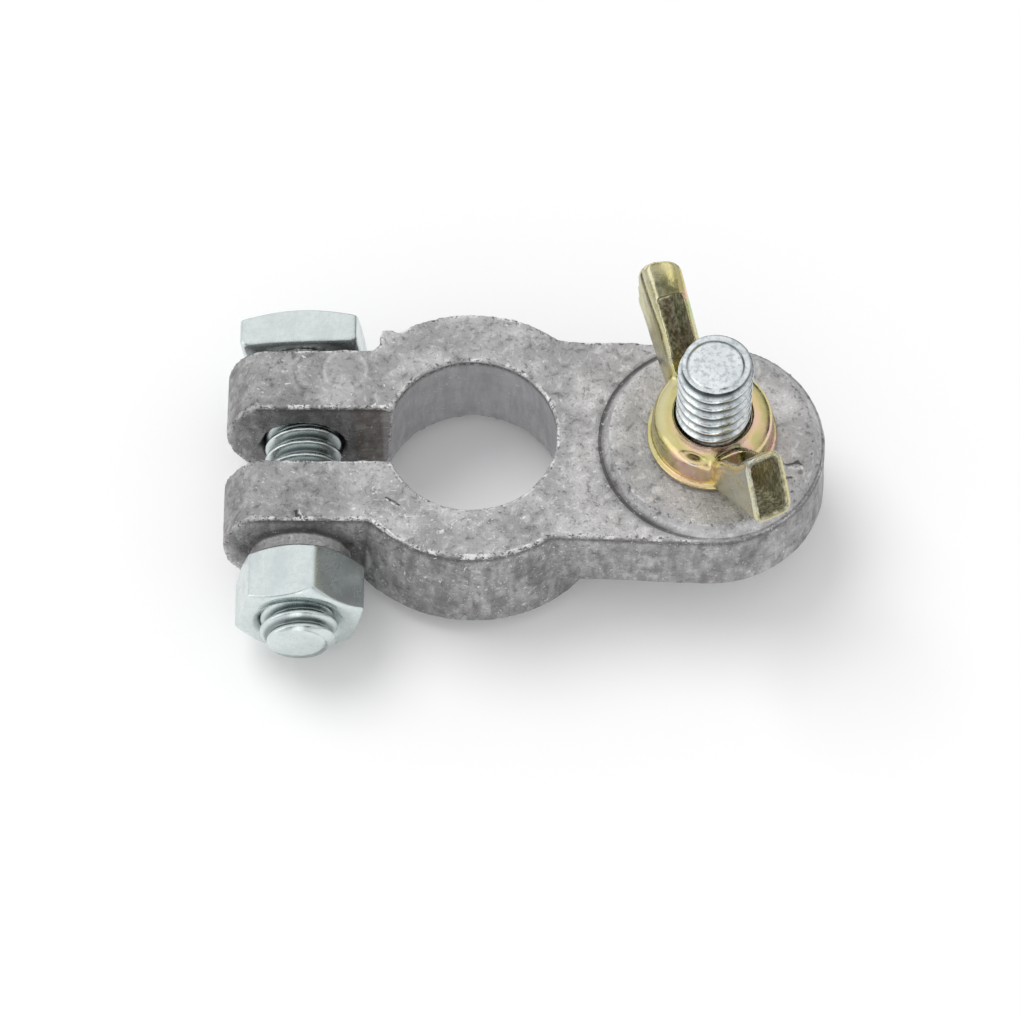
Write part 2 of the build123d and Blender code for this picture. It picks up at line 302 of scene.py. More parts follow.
@dataclass(frozen=True)
class CastLead:
    """Dull lead alloy as it leaves the mould: mottled, pitted, bright where it was knocked, with painted
    shade in creases, cuts, on the side walls and under the top rim, a painted shadow on the pad, painted
    light in the bore and painted highlights on edges and lips.

    Centres, radii and strokes are in millimetres, seen from above.
    """

    name: str = "cast_lead"
    fresh: Colour = (0.50, 0.492, 0.495)
    dull: Colour = (0.385, 0.379, 0.382)
    pale: Colour = (0.68, 0.673, 0.677)
    dark: Colour = (0.165, 0.160, 0.161)
    bright: Colour = (0.86, 0.855, 0.86)
    brown: Colour = (0.25, 0.175, 0.125)
    # The bore's colours are lighter than the outside's: painted light inside the bore.
    bore_lit_dull: Colour = (0.50, 0.50, 0.515)
    bore_lit_fresh: Colour = (0.575, 0.575, 0.595)
    metallic: float = 0.5
    top_z: float = 0.0135
    stain_x: float = -0.0107
    mark_centre: Spot = (-13.7, 7.95)
    pin_centre: Spot = (-16.7, 7.7)
    pad_centre: Spot = (25.73, -0.90)
    pad_foot_r: float = 11.98
    # Cuts painted near black as the shade inside them.
    cuts: tuple[Stroke, ...] = (
        ((-18.75, -9.2), (-18.45, -10.35), 0.20), ((33.05, -4.05), (35.1, -4.2), 0.26),
        ((-9.2, -7.7), (-7.6, -8.75), 0.13), ((33.4, -6.1), (34.4, -6.2), 0.15),
    )
    # Painted highlights on the lips beside the cuts and along two edges.
    lip_and_edge_highlights: tuple[Stroke, ...] = (
        ((-18.35, -9.3), (-18.05, -10.4), 0.20), ((33.1, -4.50), (35.3, -4.65), 0.24),
        ((-9.1, -7.95), (-7.4, -9.0), 0.15), ((-9.9, -10.7), (-6.5, -13.9), 0.20),
        ((-11.6, 3.5), (-10.0, 3.9), 0.16),
    )
    scratches: tuple[Spot, ...] = ((38.0, 0.0), (-24.0, 3.1), (74.0, 7.7), (8.0, 5.2))

    def stroke(self, w: Wiring, x: object, y: object, start: Spot, stop: Spot, width: float) -> Socket:
        """Mask of a straight cut.

        Args:
            w: the material's wiring.
            x: coordinate along X in metres.
            y: coordinate along Y in metres.
            start: one end.
            stop: other end.
            width: half width.

        Returns:
            1 on the cut's line, falling to 0 at its width.
        """
        ax, ay, bx, by = (value * MM for value in (*start, *stop))
        length = math.hypot(bx - ax, by - ay)
        ux, uy = (bx - ax) / length, (by - ay) / length
        dx, dy = w.minus(x, ax), w.minus(y, ay)
        along = w.plus(w.times(dx, ux), w.times(dy, uy))
        aside = w.size(w.minus(w.times(dx, uy), w.times(dy, ux)))
        past = w.most(w.minus(w.size(w.minus(along, length / 2)), length / 2), 0.0)
        return w.spread(w.plus(aside, past), width * MM, width * MM * 0.25)

    def strokes(self, w: Wiring, x: object, y: object, lines: tuple[Stroke, ...]) -> Socket:
        """Mask of several straight cuts, with the coordinates as in stroke."""
        return w.most(0.0, *(self.stroke(w, x, y, *line) for line in lines))

    def ring(self, w: Wiring, x: object, y: object, centre: Spot, radius: float, width: float) -> Socket:
        """Mask of a round line, a disc where the width is 0.

        Args:
            w: the material's wiring.
            x: coordinate along X in metres.
            y: coordinate along Y in metres.
            centre: the circle's centre.
            radius: its radius.
            width: half width of the line.

        Returns:
            1 on the line or disc, 0 away from it.
        """
        away = w.hypot(w.minus(x, centre[0] * MM), w.minus(y, centre[1] * MM))
        if not width:
            return w.spread(away, radius * MM, (radius - 0.25) * MM)
        return w.spread(w.size(w.minus(away, radius * MM)), width * MM, width * MM * 0.2)

    def build(self) -> bpy.types.Material:
        """Builds the material.

        Returns:
            The lead material, which reads the attribute edge and two attributes of painted shade, one for
            concave creases and one for a band under the top rim.
        """
        material, w, shader, spot = new_material(self.name)
        broad = w.noise(spot, 150.0, 3.0, 0.6)
        medium = w.noise(spot, 900.0, 5.0, 0.66, 0.5)
        fine = w.noise(spot, 2800.0, 4.0, 0.65)
        grain = w.noise(spot, 6500.0, 2.0, 0.5)
        edge, crease_shade, under = (w.attribute(name) for name in ("edge", "crease_shade", "under"))
        x, y, z = w.add("ShaderNodeSeparateXYZ", {0: spot}).outputs
        facing = w.add("ShaderNodeSeparateXYZ", {0: w.add("ShaderNodeNewGeometry").outputs["Normal"]})
        upward = w.spread(facing.outputs[2], 0.55, 0.9)
        side = w.times(w.minus(1.0, upward), w.spread(z, 0.0138, 0.0132))
        top = w.times(upward, w.spread(z, self.top_z - 0.0009, self.top_z - 0.0003))
        out = w.hypot(x, y)
        bore = w.times(w.spread(out, 0.0105, 0.0101), side)

        base = w.mix(w.spread(broad, 0.36, 0.64), self.dull, self.fresh)
        base = w.mix(w.spread(medium, 0.52, 0.68, 0.0, 0.62), base, self.pale)
        base = w.mix(w.spread(medium, 0.47, 0.30, 0.0, 0.80), base, self.dark)
        base = w.mix(w.spread(fine, 0.45, 0.31, 0.0, 0.64), base, self.dark)
        # Side walls darker in vertical streaks: striations, and painted shade that keeps the walls darker
        # than the top.
        streak = w.noise(w.place(spot, (1.0, 1.0, 0.30)), 1000.0, 4.0, 0.62)
        base = w.mix(w.times(side, w.spread(streak, 0.34, 0.66, 0.0, 0.66)), base, self.dark)
        # The bore's wall is painted lighter and bluer in vertical streaks: painted light that stands in for
        # light reaching inside the bore, and streaks on the wall.
        bore_lit_streaks = w.noise(w.place(spot, (1.0, 1.0, 0.12)), 1500.0, 3.0, 0.6)
        bore_lit_streaks = w.mix(w.spread(bore_lit_streaks, 0.38, 0.62), self.bore_lit_dull, self.bore_lit_fresh)
        base = w.mix(w.times(bore, 0.85), base, bore_lit_streaks)

        # Lighter towards +X from the ears to the tongue, with broad random patches, and a painted sheen at
        # the ears' left end.
        tone = w.plus(w.spread(x, -0.0215, -0.009, 0.83, 1.08), w.spread(x, 0.006, 0.018, 0.0, 0.17),
                      w.spread(x, -0.0225, -0.0262, 0.0, 0.16), w.spread(broad, 0.35, 0.65, -0.08, 0.08))
        outside = w.math("SUBTRACT", side, bore, clamp=True)
        tone = w.minus(tone, w.times(outside, w.spread(x, -0.022, -0.017, 0.0, 0.19)))
        # Painted shadow of the wing nut on the front part of the pad's top.
        tone = w.minus(tone, w.times(w.spread(z, 0.0141, 0.0146), w.spread(y, -0.0052, -0.0100, 0.0, 0.26)))
        bolt_out = w.hypot(w.minus(x, BOLT_X * MM), w.minus(z, BOLT_Z * MM))
        seat = w.times(w.spread(bolt_out, 0.0078, 0.0074), w.spread(y, -0.01062, -0.0109))
        tone = w.plus(tone, w.times(seat, 0.55))
        base = w.mix(1.0, base, w.grey(tone), "MULTIPLY")

        seen = w.times(w.spread(w.size(y), 0.0036, 0.0028), side,
                       w.spread(w.size(w.minus(x, self.stain_x)), 0.0026, 0.0013))
        stain = w.noise(w.place(spot, (0.16, 1.0, 1.0)), 2600.0, 4.0, 0.65, 0.4)
        base = w.mix(w.times(seen, w.spread(stain, 0.36, 0.56)), base, self.brown)
        # Painted shade in concave creases and on the slot's walls, kept off the nut's seat.
        base = w.mix(w.times(crease_shade, w.minus(1.0, seat), 0.85), base, (0.085, 0.078, 0.074))
        # Painted shadow in a band on the side walls just below the top rim, from the attribute under.
        base = w.mix(w.times(under, w.spread(fine, 0.34, 0.56, 0.25, 0.95)), base, (0.10, 0.094, 0.09))

        wobble = w.noise(spot, 900.0, 2.0, 0.5)
        wx = w.plus(x, w.spread(wobble, 0.3, 0.7, -0.00022, 0.00022))
        wy = w.plus(y, w.spread(wobble, 0.3, 0.7, 0.00025, -0.00025))
        pad_disc = w.times(self.ring(w, x, y, self.mark_centre, 2.65, 0.0), top)
        pad_line = w.times(self.ring(w, x, y, self.mark_centre, 2.3, 0.34), top)
        pin = w.times(self.ring(w, wx, wy, self.pin_centre, 2.5, 0.30), w.spread(x, -0.0163, -0.0172))
        step = self.ring(w, x, y, self.pad_centre, self.pad_foot_r, 0.20)
        step = w.times(step, w.spread(fine, 0.30, 0.5, 0.6, 1.0))
        cuts = w.times(w.most(self.strokes(w, wx, wy, self.cuts), w.times(pin, 0.30)), top)
        cuts = w.most(cuts, w.times(step, w.times(top, 0.80)))
        # Painted highlight on the lips and edge lines.
        lip_and_edge_highlights = w.times(self.strokes(w, wx, wy, self.lip_and_edge_highlights), w.spread(fine, 0.36, 0.52), top)
        base = w.mix(w.times(pad_disc, 0.16), base, (0.58, 0.57, 0.57))
        base = w.mix(w.times(pad_line, w.spread(fine, 0.3, 0.6, 0.1, 0.5)), base, (0.68, 0.67, 0.67))
        # Painted shade in the cuts, in the pin ring and in a line at the foot of the pad's step.
        base = w.mix(w.times(cuts, 0.85), base, (0.07, 0.066, 0.064))

        marks = 0.0
        for turn, shift in self.scratches:
            run = w.place(spot, (0.45, 2.1, 1.0), turn, (shift, shift, 0.0))
            marks = w.most(w.spread(w.noise(run, 1500.0, 2.0, 0.55, 0.3), 0.71, 0.76), marks)
        marks = w.times(marks, w.spread(w.noise(spot, 260.0, 2.0, 0.5), 0.50, 0.64), upward)
        flecks = w.spread(w.noise(w.place(spot, (1.0, 1.5, 1.0), 30.0), 2100.0, 3.0, 0.72), 0.61, 0.68)
        flecks = w.times(flecks, w.spread(broad, 0.38, 0.58, 0.25, 1.0))
        chips = w.spread(w.noise(w.place(spot, (1.0, 1.6, 1.0), -35.0), 1150.0, 4.0, 0.7, 0.6), 0.62, 0.66)
        knocked = w.times(w.spread(out, 0.0175, 0.0150), w.spread(y, -0.0035, -0.0070))
        flecks = w.most(flecks, w.times(chips, w.spread(knocked, 0.0, 1.0, 0.15, 1.0)))
        # Bright along convex edges: wear, and a painted highlight on the edges; the scratches, flecks and
        # chips above are wear.
        wear_and_glint_spread = w.times(w.spread(w.noise(spot, 620.0, 3.0, 0.6), 0.44, 0.60),
                       w.spread(x, -0.0245, -0.019, 0.35, 1.0))
        wear_and_edge_glint = w.times(w.spread(edge, 0.38, 0.72), w.times(w.spread(fine, 0.38, 0.54), wear_and_glint_spread))
        wear_and_highlight = w.most(marks, wear_and_edge_glint, w.times(flecks, 0.8), lip_and_edge_highlights)
        # Darker in ragged patches along convex edges.
        torn = w.times(w.spread(edge, 0.30, 0.55), w.spread(fine, 0.47, 0.37))
        base = w.mix(w.times(torn, 0.80), base, (0.09, 0.085, 0.082))
        rough = w.spread(medium, 0.3, 0.7, 0.62, 0.46)
        w.fill(shader, {"Base Color": w.mix(wear_and_highlight, base, self.bright), "Metallic": self.metallic,
                        "Roughness": w.minus(rough, w.times(wear_and_highlight, 0.22))})

        height = w.plus(w.times(medium, 0.60), w.times(fine, 0.34), w.times(grain, 0.14))
        height = w.minus(height, w.times(cuts, 0.60))
        height = w.plus(height, w.times(w.plus(w.times(pad_line, 0.4), lip_and_edge_highlights), 0.25))
        w.relief(shader, height, 0.00042, 0.8)
        return material


@dataclass(frozen=True)
class ZincPlate:
    """Clear bluish zinc plate over steel, with painted shade in the thread roots."""

    name: str = "zinc_plate"
    colour: Colour = (0.70, 0.765, 0.755)
    shade: Colour = (0.50, 0.565, 0.56)
    roughness: float = 0.24
    ripple: float = 0.00006
    # Colour and share of the painted shade in the thread roots.
    root: Colour = (0.075, 0.10, 0.10)
    root_dark: float = 0.70
    mottle: float = 0.25

    def build(self) -> bpy.types.Material:
        """Builds the material.

        Returns:
            The plated steel material, which reads the attribute groove for painted shade in the thread
            roots.
        """
        material, w, shader, spot = new_material(self.name)
        cloud = w.noise(spot, 420.0, 4.0, 0.6)
        grain = w.noise(spot, 4200.0, 3.0, 0.6)
        speck = w.noise(spot, 1700.0, 4.0, 0.65)
        base = w.mix(w.spread(cloud, 0.40, 0.68, 0.0, 0.30), self.colour, self.shade)
        base = w.mix(w.spread(grain, 0.55, 0.75, 0.0, 0.35), base, self.shade)
        base = w.mix(w.spread(speck, 0.56, 0.34, 0.0, self.mottle), base, self.shade)
        # Painted shade: darker in the thread roots, from the attribute groove.
        base = w.mix(w.spread(w.attribute("groove"), 0.20, 0.72, 0.0, self.root_dark), base, self.root)
        rough = w.spread(cloud, 0.3, 0.7, self.roughness - 0.05, self.roughness + 0.09)
        w.fill(shader, {"Base Color": base, "Metallic": 1.0, "Roughness": rough})
        w.relief(shader, w.plus(w.times(cloud, 0.6), w.times(grain, 0.25)), self.ripple, 0.6)
        return material


@dataclass(frozen=True)
class YellowZinc:
    """Yellow passivated zinc whose thin film drifts through olive, rose and green, with painted shade in the
    hollows and in the crown's dent, and painted highlights on edges and lips.
    """

    name: str = "yellow_zinc"
    roughness: float = 0.19

    def build(self) -> bpy.types.Material:
        """Builds the material.

        Returns:
            The iridescent material, which reads the attributes film, inside for painted shade in the
            hollows, edge for painted highlights, and one for painted shade in the crown's dent.
        """
        material, w, shader, spot = new_material(self.name)
        drift = w.noise(spot, 170.0, 3.0, 0.55, 0.8)
        cloud = w.noise(spot, 900.0, 4.0, 0.6)
        film, inside, rim, dent_shade = (w.attribute(name) for name in ("film", "inside", "edge", "dent_shade"))
        layer = w.plus(film, w.spread(drift, 0.3, 0.7, -0.13, 0.13, smooth=False))
        base = w.ramp(layer, [
            (0.00, (0.60, 0.60, 0.50)), (0.20, (0.66, 0.61, 0.34)), (0.38, (0.62, 0.55, 0.24)),
            (0.52, (0.80, 0.60, 0.36)), (0.64, (0.82, 0.56, 0.46)), (0.76, (0.66, 0.63, 0.34)),
            (0.88, (0.40, 0.58, 0.28)), (1.00, (0.24, 0.44, 0.42)),
        ])
        base = w.mix(w.spread(cloud, 0.42, 0.25, 0.0, 0.22), base, (0.34, 0.31, 0.15))
        # Painted shade inside the wings' hollows: a dark skin with lighter streaks.
        streak = w.noise(w.place(spot, (1.0, 1.0, 0.4), 30.0), 2600.0, 4.0, 0.7)
        skin = w.mix(w.spread(streak, 0.42, 0.62), (0.10, 0.09, 0.05), (0.62, 0.60, 0.46))
        base = w.mix(w.times(inside, 0.80), base, skin)
        # Painted highlight along convex edges, on the slot's lip and on the dent's lip.
        base = w.mix(w.spread(rim, 0.45, 0.95, 0.0, 0.75), base, (0.93, 0.90, 0.80))
        # Painted shade in the crown's dent.
        base = w.mix(w.spread(dent_shade, 0.25, 0.75, 0.0, 0.88), base, (0.085, 0.065, 0.022))
        rough = w.spread(cloud, 0.3, 0.7, self.roughness - 0.05, self.roughness + 0.1)
        w.fill(shader, {"Base Color": base, "Roughness": rough,
                        "Metallic": w.minus(1.0, w.times(inside, 0.75))})
        w.relief(shader, cloud, 0.00009, 0.5)
        return material


def hashed_noise(points: np.ndarray, cell: float, seed: int) -> np.ndarray:
    """Smooth value noise on a random lattice.

    Args:
        points: (n, 3) positions.
        cell: the lattice's spacing.
        seed: chooses the pattern.

    Returns:
        Values from -1 to 1.
    """
    scaled = points / cell + 917.0
    low = np.floor(scaled).astype(np.int64)
    part = scaled - low
    part = part * part * (3.0 - 2.0 * part)
    total = np.zeros(len(points))
    for corner in range(8):
        bit = np.array([corner & 1, corner >> 1 & 1, corner >> 2 & 1])
        key = low + bit
        mixed = (key[:, 0] * 73856093) ^ (key[:, 1] * 19349663) ^ (key[:, 2] * 83492791) ^ (seed * 2654435)
        mixed = (mixed ^ (mixed >> 13)) * 1274126177 & 0x7FFFFFFF
        value = (mixed ^ (mixed >> 16)) % 65521 / 65521.0 * 2.0 - 1.0
        total += value * np.prod(np.where(bit == 1, part, 1.0 - part), axis=1)
    return total


def ease(value: np.ndarray, low: float, high: float) -> np.ndarray:
    """Smooth step from 0 at low to 1 at high, either way round."""
    share = np.clip((value - low) / (high - low), 0.0, 1.0)
    return share * share * (3.0 - 2.0 * share)


class MeshBench:
    """Reads, smooths and writes meshes through arrays."""

    @staticmethod
    def points(mesh: bpy.types.Mesh) -> np.ndarray:
        """The vertices' places as an (n, 3) array in millimetres."""
        flat = np.empty(len(mesh.vertices) * 3)
        mesh.vertices.foreach_get("co", flat)
        return flat.reshape(-1, 3) / MM

    @staticmethod
    def normals(mesh: bpy.types.Mesh) -> np.ndarray:
        """The vertices' normals as an (n, 3) array."""
        flat = np.empty(len(mesh.vertices) * 3)
        mesh.vertex_normals.foreach_get("vector", flat)
        return flat.reshape(-1, 3)

    @staticmethod
    def edges(mesh: bpy.types.Mesh) -> np.ndarray:
        """The edges as an (m, 2) array of vertex numbers."""
        flat = np.empty(len(mesh.edges) * 2, np.int64)
        mesh.edges.foreach_get("vertices", flat)
        return flat.reshape(-1, 2)

    @staticmethod
    def write(mesh: bpy.types.Mesh, places: np.ndarray) -> None:
        """Writes the vertices' places, given in millimetres."""
        mesh.vertices.foreach_set("co", (places * MM).astype(np.float32).ravel())
        mesh.update()

    @staticmethod
    def blur(values: np.ndarray, edges: np.ndarray, rounds: int, weight: float = 0.5) -> np.ndarray:
        """Moves each vertex's value towards its neighbours' mean.

        Args:
            values: (n,) or (n, k) values.
            edges: the mesh's edges.
            rounds: how often it is repeated.
            weight: share of the neighbours' mean.

        Returns:
            The smoothed values.
        """
        flat = values.reshape(len(values), -1)
        both = np.concatenate([edges, edges[:, ::-1]])
        count = np.maximum(np.bincount(both[:, 0], minlength=len(flat)), 1)
        for _ in range(rounds):
            mean = np.stack([
                np.bincount(both[:, 0], flat[both[:, 1], k], len(flat)) for k in range(flat.shape[1])
            ], 1) / count[:, None]
            flat = flat + weight * (mean - flat)
        return flat.reshape(values.shape)

    @staticmethod
    def attribute(mesh: bpy.types.Mesh, name: str, values: np.ndarray) -> None:
        """Stores one number for each vertex under a name."""
        made = mesh.attributes.get(name) or mesh.attributes.new(name, "FLOAT", "POINT")
        made.data.foreach_set("value", values.astype(np.float32))

    @staticmethod
    def shade(mesh: bpy.types.Mesh) -> None:
        """Shades every face smooth."""
        mesh.polygons.foreach_set("use_smooth", np.ones(len(mesh.polygons), bool))

    @staticmethod
    def object_of(name: str, mesh: bpy.types.Mesh) -> bpy.types.Object:
        """Links an object for a mesh at the origin."""
        made = bpy.data.objects.new(name, mesh)
        bpy.context.scene.collection.objects.link(made)
        return made

    @classmethod
    def voxel_copy(cls, node: str, name: str, voxel_mm: float,
                   extra: tuple[np.ndarray, ...] = ()) -> bpy.types.Object:
        """Copies a CAD node as one even skin of small quads.

        Args:
            node: the CAD node's name.
            name: the copy's name.
            voxel_mm: edge length of the quads.
            extra: eight corners in millimetres of each plate that is melted in, four of one face
                and then the four opposite them.

        Returns:
            The copy, at the origin and without modifiers.
        """
        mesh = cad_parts[node].data.copy()
        work = bmesh.new()
        work.from_mesh(mesh)
        bmesh.ops.remove_doubles(work, verts=work.verts, dist=1e-7)
        for corners in extra:
            made = [work.verts.new(place * MM) for place in corners]
            sides = [work.faces.new([made[k] for k in face]) for face in BOX_FACES]
            bmesh.ops.recalc_face_normals(work, faces=sides)
        work.to_mesh(mesh)
        work.free()
        made = cls.object_of(name + "_raw", mesh)
        skin = made.modifiers.new("skin", "REMESH")
        skin.mode = "VOXEL"
        skin.voxel_size = voxel_mm * MM
        even = cls.evaluated(made, name)
        bpy.data.objects.remove(made)
        even.materials.clear()
        cls.shade(even)
        return cls.object_of(name, even)

    @staticmethod
    def evaluated(made: bpy.types.Object, name: str) -> bpy.types.Mesh:
        """The object's mesh with its modifiers applied."""
        graph = bpy.context.evaluated_depsgraph_get()
        mesh = bpy.data.meshes.new_from_object(made.evaluated_get(graph))
        mesh.name = name
        return mesh

    @classmethod
    def ring_stack(cls, name: str, rings: list[np.ndarray], closed: bool = False) -> bpy.types.Mesh:
        """Joins rings of equal count with quads, and closes both ends with a fan.

        Args:
            name: the mesh's name.
            rings: (n, 3) arrays in millimetres, counterclockwise seen from the last one's side.
            closed: joins the last ring to the first one instead of closing the ends.

        Returns:
            The mesh with outward faces.
        """
        count = len(rings[0])
        places = np.concatenate(rings)
        faces = []
        last = len(rings) if closed else len(rings) - 1
        for k in range(last):
            a, b = k * count, (k + 1) % len(rings) * count
            for i in range(count):
                j = (i + 1) % count
                faces.append((a + i, a + j, b + j, b + i))
        if not closed:
            places = np.concatenate([places, [rings[0].mean(0)], [rings[-1].mean(0)]])
            low, high = len(places) - 2, len(places) - 1
            top = (len(rings) - 1) * count
            for i in range(count):
                j = (i + 1) % count
                faces.append((low, j, i))
                faces.append((high, top + i, top + j))
        mesh = bpy.data.meshes.new(name)
        mesh.from_pydata((places * MM).tolist(), [], faces)
        mesh.update()
        cls.shade(mesh)
        return mesh


def polygon_radius(angles: np.ndarray, sides: int, apothem: float, turn: float, soft: float) -> np.ndarray:
    """Radius of a regular polygon with softened corners.

    Args:
        angles: directions in radians.
        sides: number of flats.
        apothem: distance of a flat from the centre.
        turn: direction of one flat's normal in radians.
        soft: rounding length of the corners.

    Returns:
        The radius in each direction.
    """
    total = np.zeros_like(angles)
    for k in range(sides):
        cosine = np.cos(angles - turn - 2.0 * math.pi * k / sides)
        reach = np.where(cosine > 0.2, apothem / np.maximum(cosine, 0.2), 1e3)
        total += np.exp(-(reach - apothem) / soft)
    return apothem - soft * np.log(total)


def soft_min(first: np.ndarray, second: np.ndarray, soft: float) -> np.ndarray:
    """Smaller of two values with a rounded crossing."""
    lower = np.minimum(first, second)
    gap = np.abs(first - second) / soft
    return lower - soft * np.log1p(np.exp(-np.minimum(gap, 60.0)))


class GeometryTool:
    """Geometry Nodes tree with named inputs, run over one mesh at a time."""

    def __init__(self, name: str, numbers: dict[str, float]) -> None:
        """Starts the tree with its sockets.

        Args:
            name: the tree's name.
            numbers: name and default of each number that is put in, an int for a whole number.
        """
        self.tree = bpy.data.node_groups.new(name, "GeometryNodeTree")
        face = self.tree.interface
        face.new_socket("Geometry", in_out="INPUT", socket_type="NodeSocketGeometry")
        for label, value in numbers.items():
            kind = "NodeSocketInt" if isinstance(value, int) else "NodeSocketFloat"
            face.new_socket(label, in_out="INPUT", socket_type=kind).default_value = value
        face.new_socket("Material", in_out="INPUT", socket_type="NodeSocketMaterial")
        face.new_socket("Geometry", in_out="OUTPUT", socket_type="NodeSocketGeometry")
        self.wiring = Wiring(self.tree)
        self.given = self.wiring.add("NodeGroupInput").outputs

    def close(self, geometry: Socket) -> None:
        """Makes the instances real, sets the material and ends the tree."""
        real = self.wiring.add("GeometryNodeRealizeInstances", {0: geometry})
        dressed = self.wiring.add("GeometryNodeSetMaterial", {"Geometry": real.outputs[0],
                                                              "Material": self.given["Material"]})
        self.wiring.add("NodeGroupOutput", {0: dressed.outputs[0]})

    def moved(self, geometry: Socket, vector: object, scale: object) -> Socket:
        """Geometry whose points are moved by a vector times a scale."""
        shift = self.wiring.add("ShaderNodeVectorMath", {0: vector}, operation="SCALE")
        self.wiring.feed(shift.inputs["Scale"], scale)
        return self.wiring.add("GeometryNodeSetPosition", {"Geometry": geometry,
                                                           "Offset": shift.outputs[0]}).outputs[0]

    def run(self, mesh: bpy.types.Mesh, **values: object) -> bpy.types.Mesh:
        """Runs the tree over a mesh.

        Args:
            mesh: the mesh, which stays as it is.
            **values: a value for each input.

        Returns:
            The new mesh.
        """
        holder = MeshBench.object_of(self.tree.name, mesh)
        step = holder.modifiers.new(self.tree.name, "NODES")
        step.node_group = self.tree
        for item in self.tree.interface.items_tree:
            if item.in_out == "INPUT" and item.name in values:
                step[item.identifier] = values[item.name]
        result = MeshBench.evaluated(holder, mesh.name)
        bpy.data.objects.remove(holder)
        return result


class ThreadCutter(GeometryTool):
    """Sinks a right-hand V thread into a round wall along Z."""

    def __init__(self) -> None:
        """Builds the tree."""
        super().__init__("thread_cutter", {"Pitch": 0.0016, "Depth": 0.0008, "Start": 0.0, "End": 0.02,
                                           "Fade": 0.001, "Phase": 0.0})
        w, given = self.wiring, self.given
        x, y, z = w.add("ShaderNodeSeparateXYZ", {0: w.add("GeometryNodeInputPosition").outputs[0]}).outputs
        turn = w.math("DIVIDE", w.math("ARCTAN2", y, x), 2.0 * math.pi)
        rise = w.plus(w.math("DIVIDE", z, given["Pitch"]), given["Phase"])
        phase = w.math("FRACT", w.minus(rise, turn))
        ridge = w.minus(1.0, w.size(w.minus(w.times(phase, 2.0), 1.0)))
        groove = w.minus(1.0, w.spread(ridge, 0.10, 0.84, smooth=False))
        begin = w.spread(z, given["Start"], w.plus(given["Start"], given["Fade"]), smooth=False)
        end = w.spread(z, given["End"], w.minus(given["End"], given["Fade"]), smooth=False)
        inside = w.times(begin, end)
        wall = w.add("GeometryNodeInputNamedAttribute", {"Name": "threaded"}, data_type="FLOAT").outputs[0]
        cut = w.times(w.times(groove, given["Depth"]), inside, wall)
        flat = w.add("ShaderNodeCombineXYZ", {0: x, 1: y})
        outward = w.add("ShaderNodeVectorMath", {0: flat.outputs[0]}, operation="NORMALIZE").outputs[0]
        depth = w.add("GeometryNodeStoreNamedAttribute", {
            "Geometry": self.moved(given["Geometry"], outward, w.times(cut, -1.0)), "Name": "groove",
            "Value": w.times(groove, wall, inside)}, data_type="FLOAT", domain="POINT")
        self.close(depth.outputs[0])

    def cut(self, mesh: bpy.types.Mesh, material: bpy.types.Material, pitch: float, depth: float,
            start: float, end: float, fade: float, phase: float = 0.0) -> bpy.types.Mesh:
        """Cuts the thread into the vertices whose attribute threaded is 1 (or -1, for a bore).

        Args:
            mesh: a mesh about the Z axis.
            material: the finish of the result.
            pitch: crest to crest, in millimetres.
            depth: crest to root, in millimetres.
            start: lowest z of the thread, in millimetres.
            end: highest z of the thread, in millimetres.
            fade: length of the run-out at both ends, in millimetres.
            phase: share of a turn by which the helix is shifted.

        Returns:
            The threaded mesh.
        """
        return self.run(mesh, Pitch=pitch * MM, Depth=depth * MM, Start=start * MM, End=end * MM,
                        Fade=fade * MM, Phase=phase, Material=material)


class SpeckScatter(GeometryTool):
    """Sets small torn chips along edge lines."""

    keep_share = 0.55

    def __init__(self) -> None:
        """Builds the tree."""
        super().__init__("speck_scatter", {"Spacing": 0.0005, "Size": 0.0002, "Jitter": 0.0002, "Seed": 7})
        w, given = self.wiring, self.given
        line = w.add("GeometryNodeMeshToCurve", {"Mesh": given["Geometry"]})
        spots = w.add("GeometryNodeCurveToPoints", {"Curve": line.outputs[0], "Length": given["Spacing"]},
                      mode="LENGTH")
        stray = self.random(given["Seed"], (-1.0, -1.0, -1.0), WHITE)
        turn = self.random(w.plus(given["Seed"], 11.0), (0.0, 0.0, 0.0), (6.28, 6.28, 6.28))
        size = self.random(w.plus(given["Seed"], 23.0), (0.25, 0.3, 0.2), (1.5, 0.9, 0.6))
        chip = w.add("GeometryNodeMeshIcoSphere", {"Radius": given["Size"], "Subdivisions": 1})
        keep = w.add("FunctionNodeRandomValue", {"Seed": w.plus(given["Seed"], 37.0)}, data_type="BOOLEAN")
        keep.inputs["Probability"].default_value = self.keep_share
        placed = w.add("GeometryNodeInstanceOnPoints", {
            "Points": self.moved(spots.outputs[0], stray, given["Jitter"]), "Selection": keep.outputs[3],
            "Instance": chip.outputs[0], "Rotation": turn, "Scale": size})
        self.close(placed.outputs[0])

    def random(self, seed: object, low: Triple, high: Triple) -> Socket:
        """Random vector between two corners for each point."""
        return self.wiring.add("FunctionNodeRandomValue", {"Seed": seed, 0: low, 1: high},
                               data_type="FLOAT_VECTOR").outputs[0]

    def scatter(self, name: str, lines: list[np.ndarray], material: bpy.types.Material,
                spacing: float, size: float, jitter: float, seed: int) -> bpy.types.Mesh:
        """Sets chips along lines.

        Args:
            name: the mesh's name.
            lines: (n, 3) arrays of points in millimetres.
            material: the chips' finish.
            spacing: mean distance between chips, in millimetres.
            size: a chip's radius, in millimetres.
            jitter: how far a chip strays, in millimetres.
            seed: chooses the pattern.

        Returns:
            The chips as one plain mesh.
        """
        places, pairs = [], []
        for line in lines:
            first = len(places)
            places.extend((line * MM).tolist())
            pairs.extend((first + k, first + k + 1) for k in range(len(line) - 1))
        mesh = bpy.data.meshes.new(name)
        mesh.from_pydata(places, pairs, [])
        return self.run(mesh, Spacing=spacing * MM, Size=size * MM, Jitter=jitter * MM, Seed=seed,
                        Material=material)


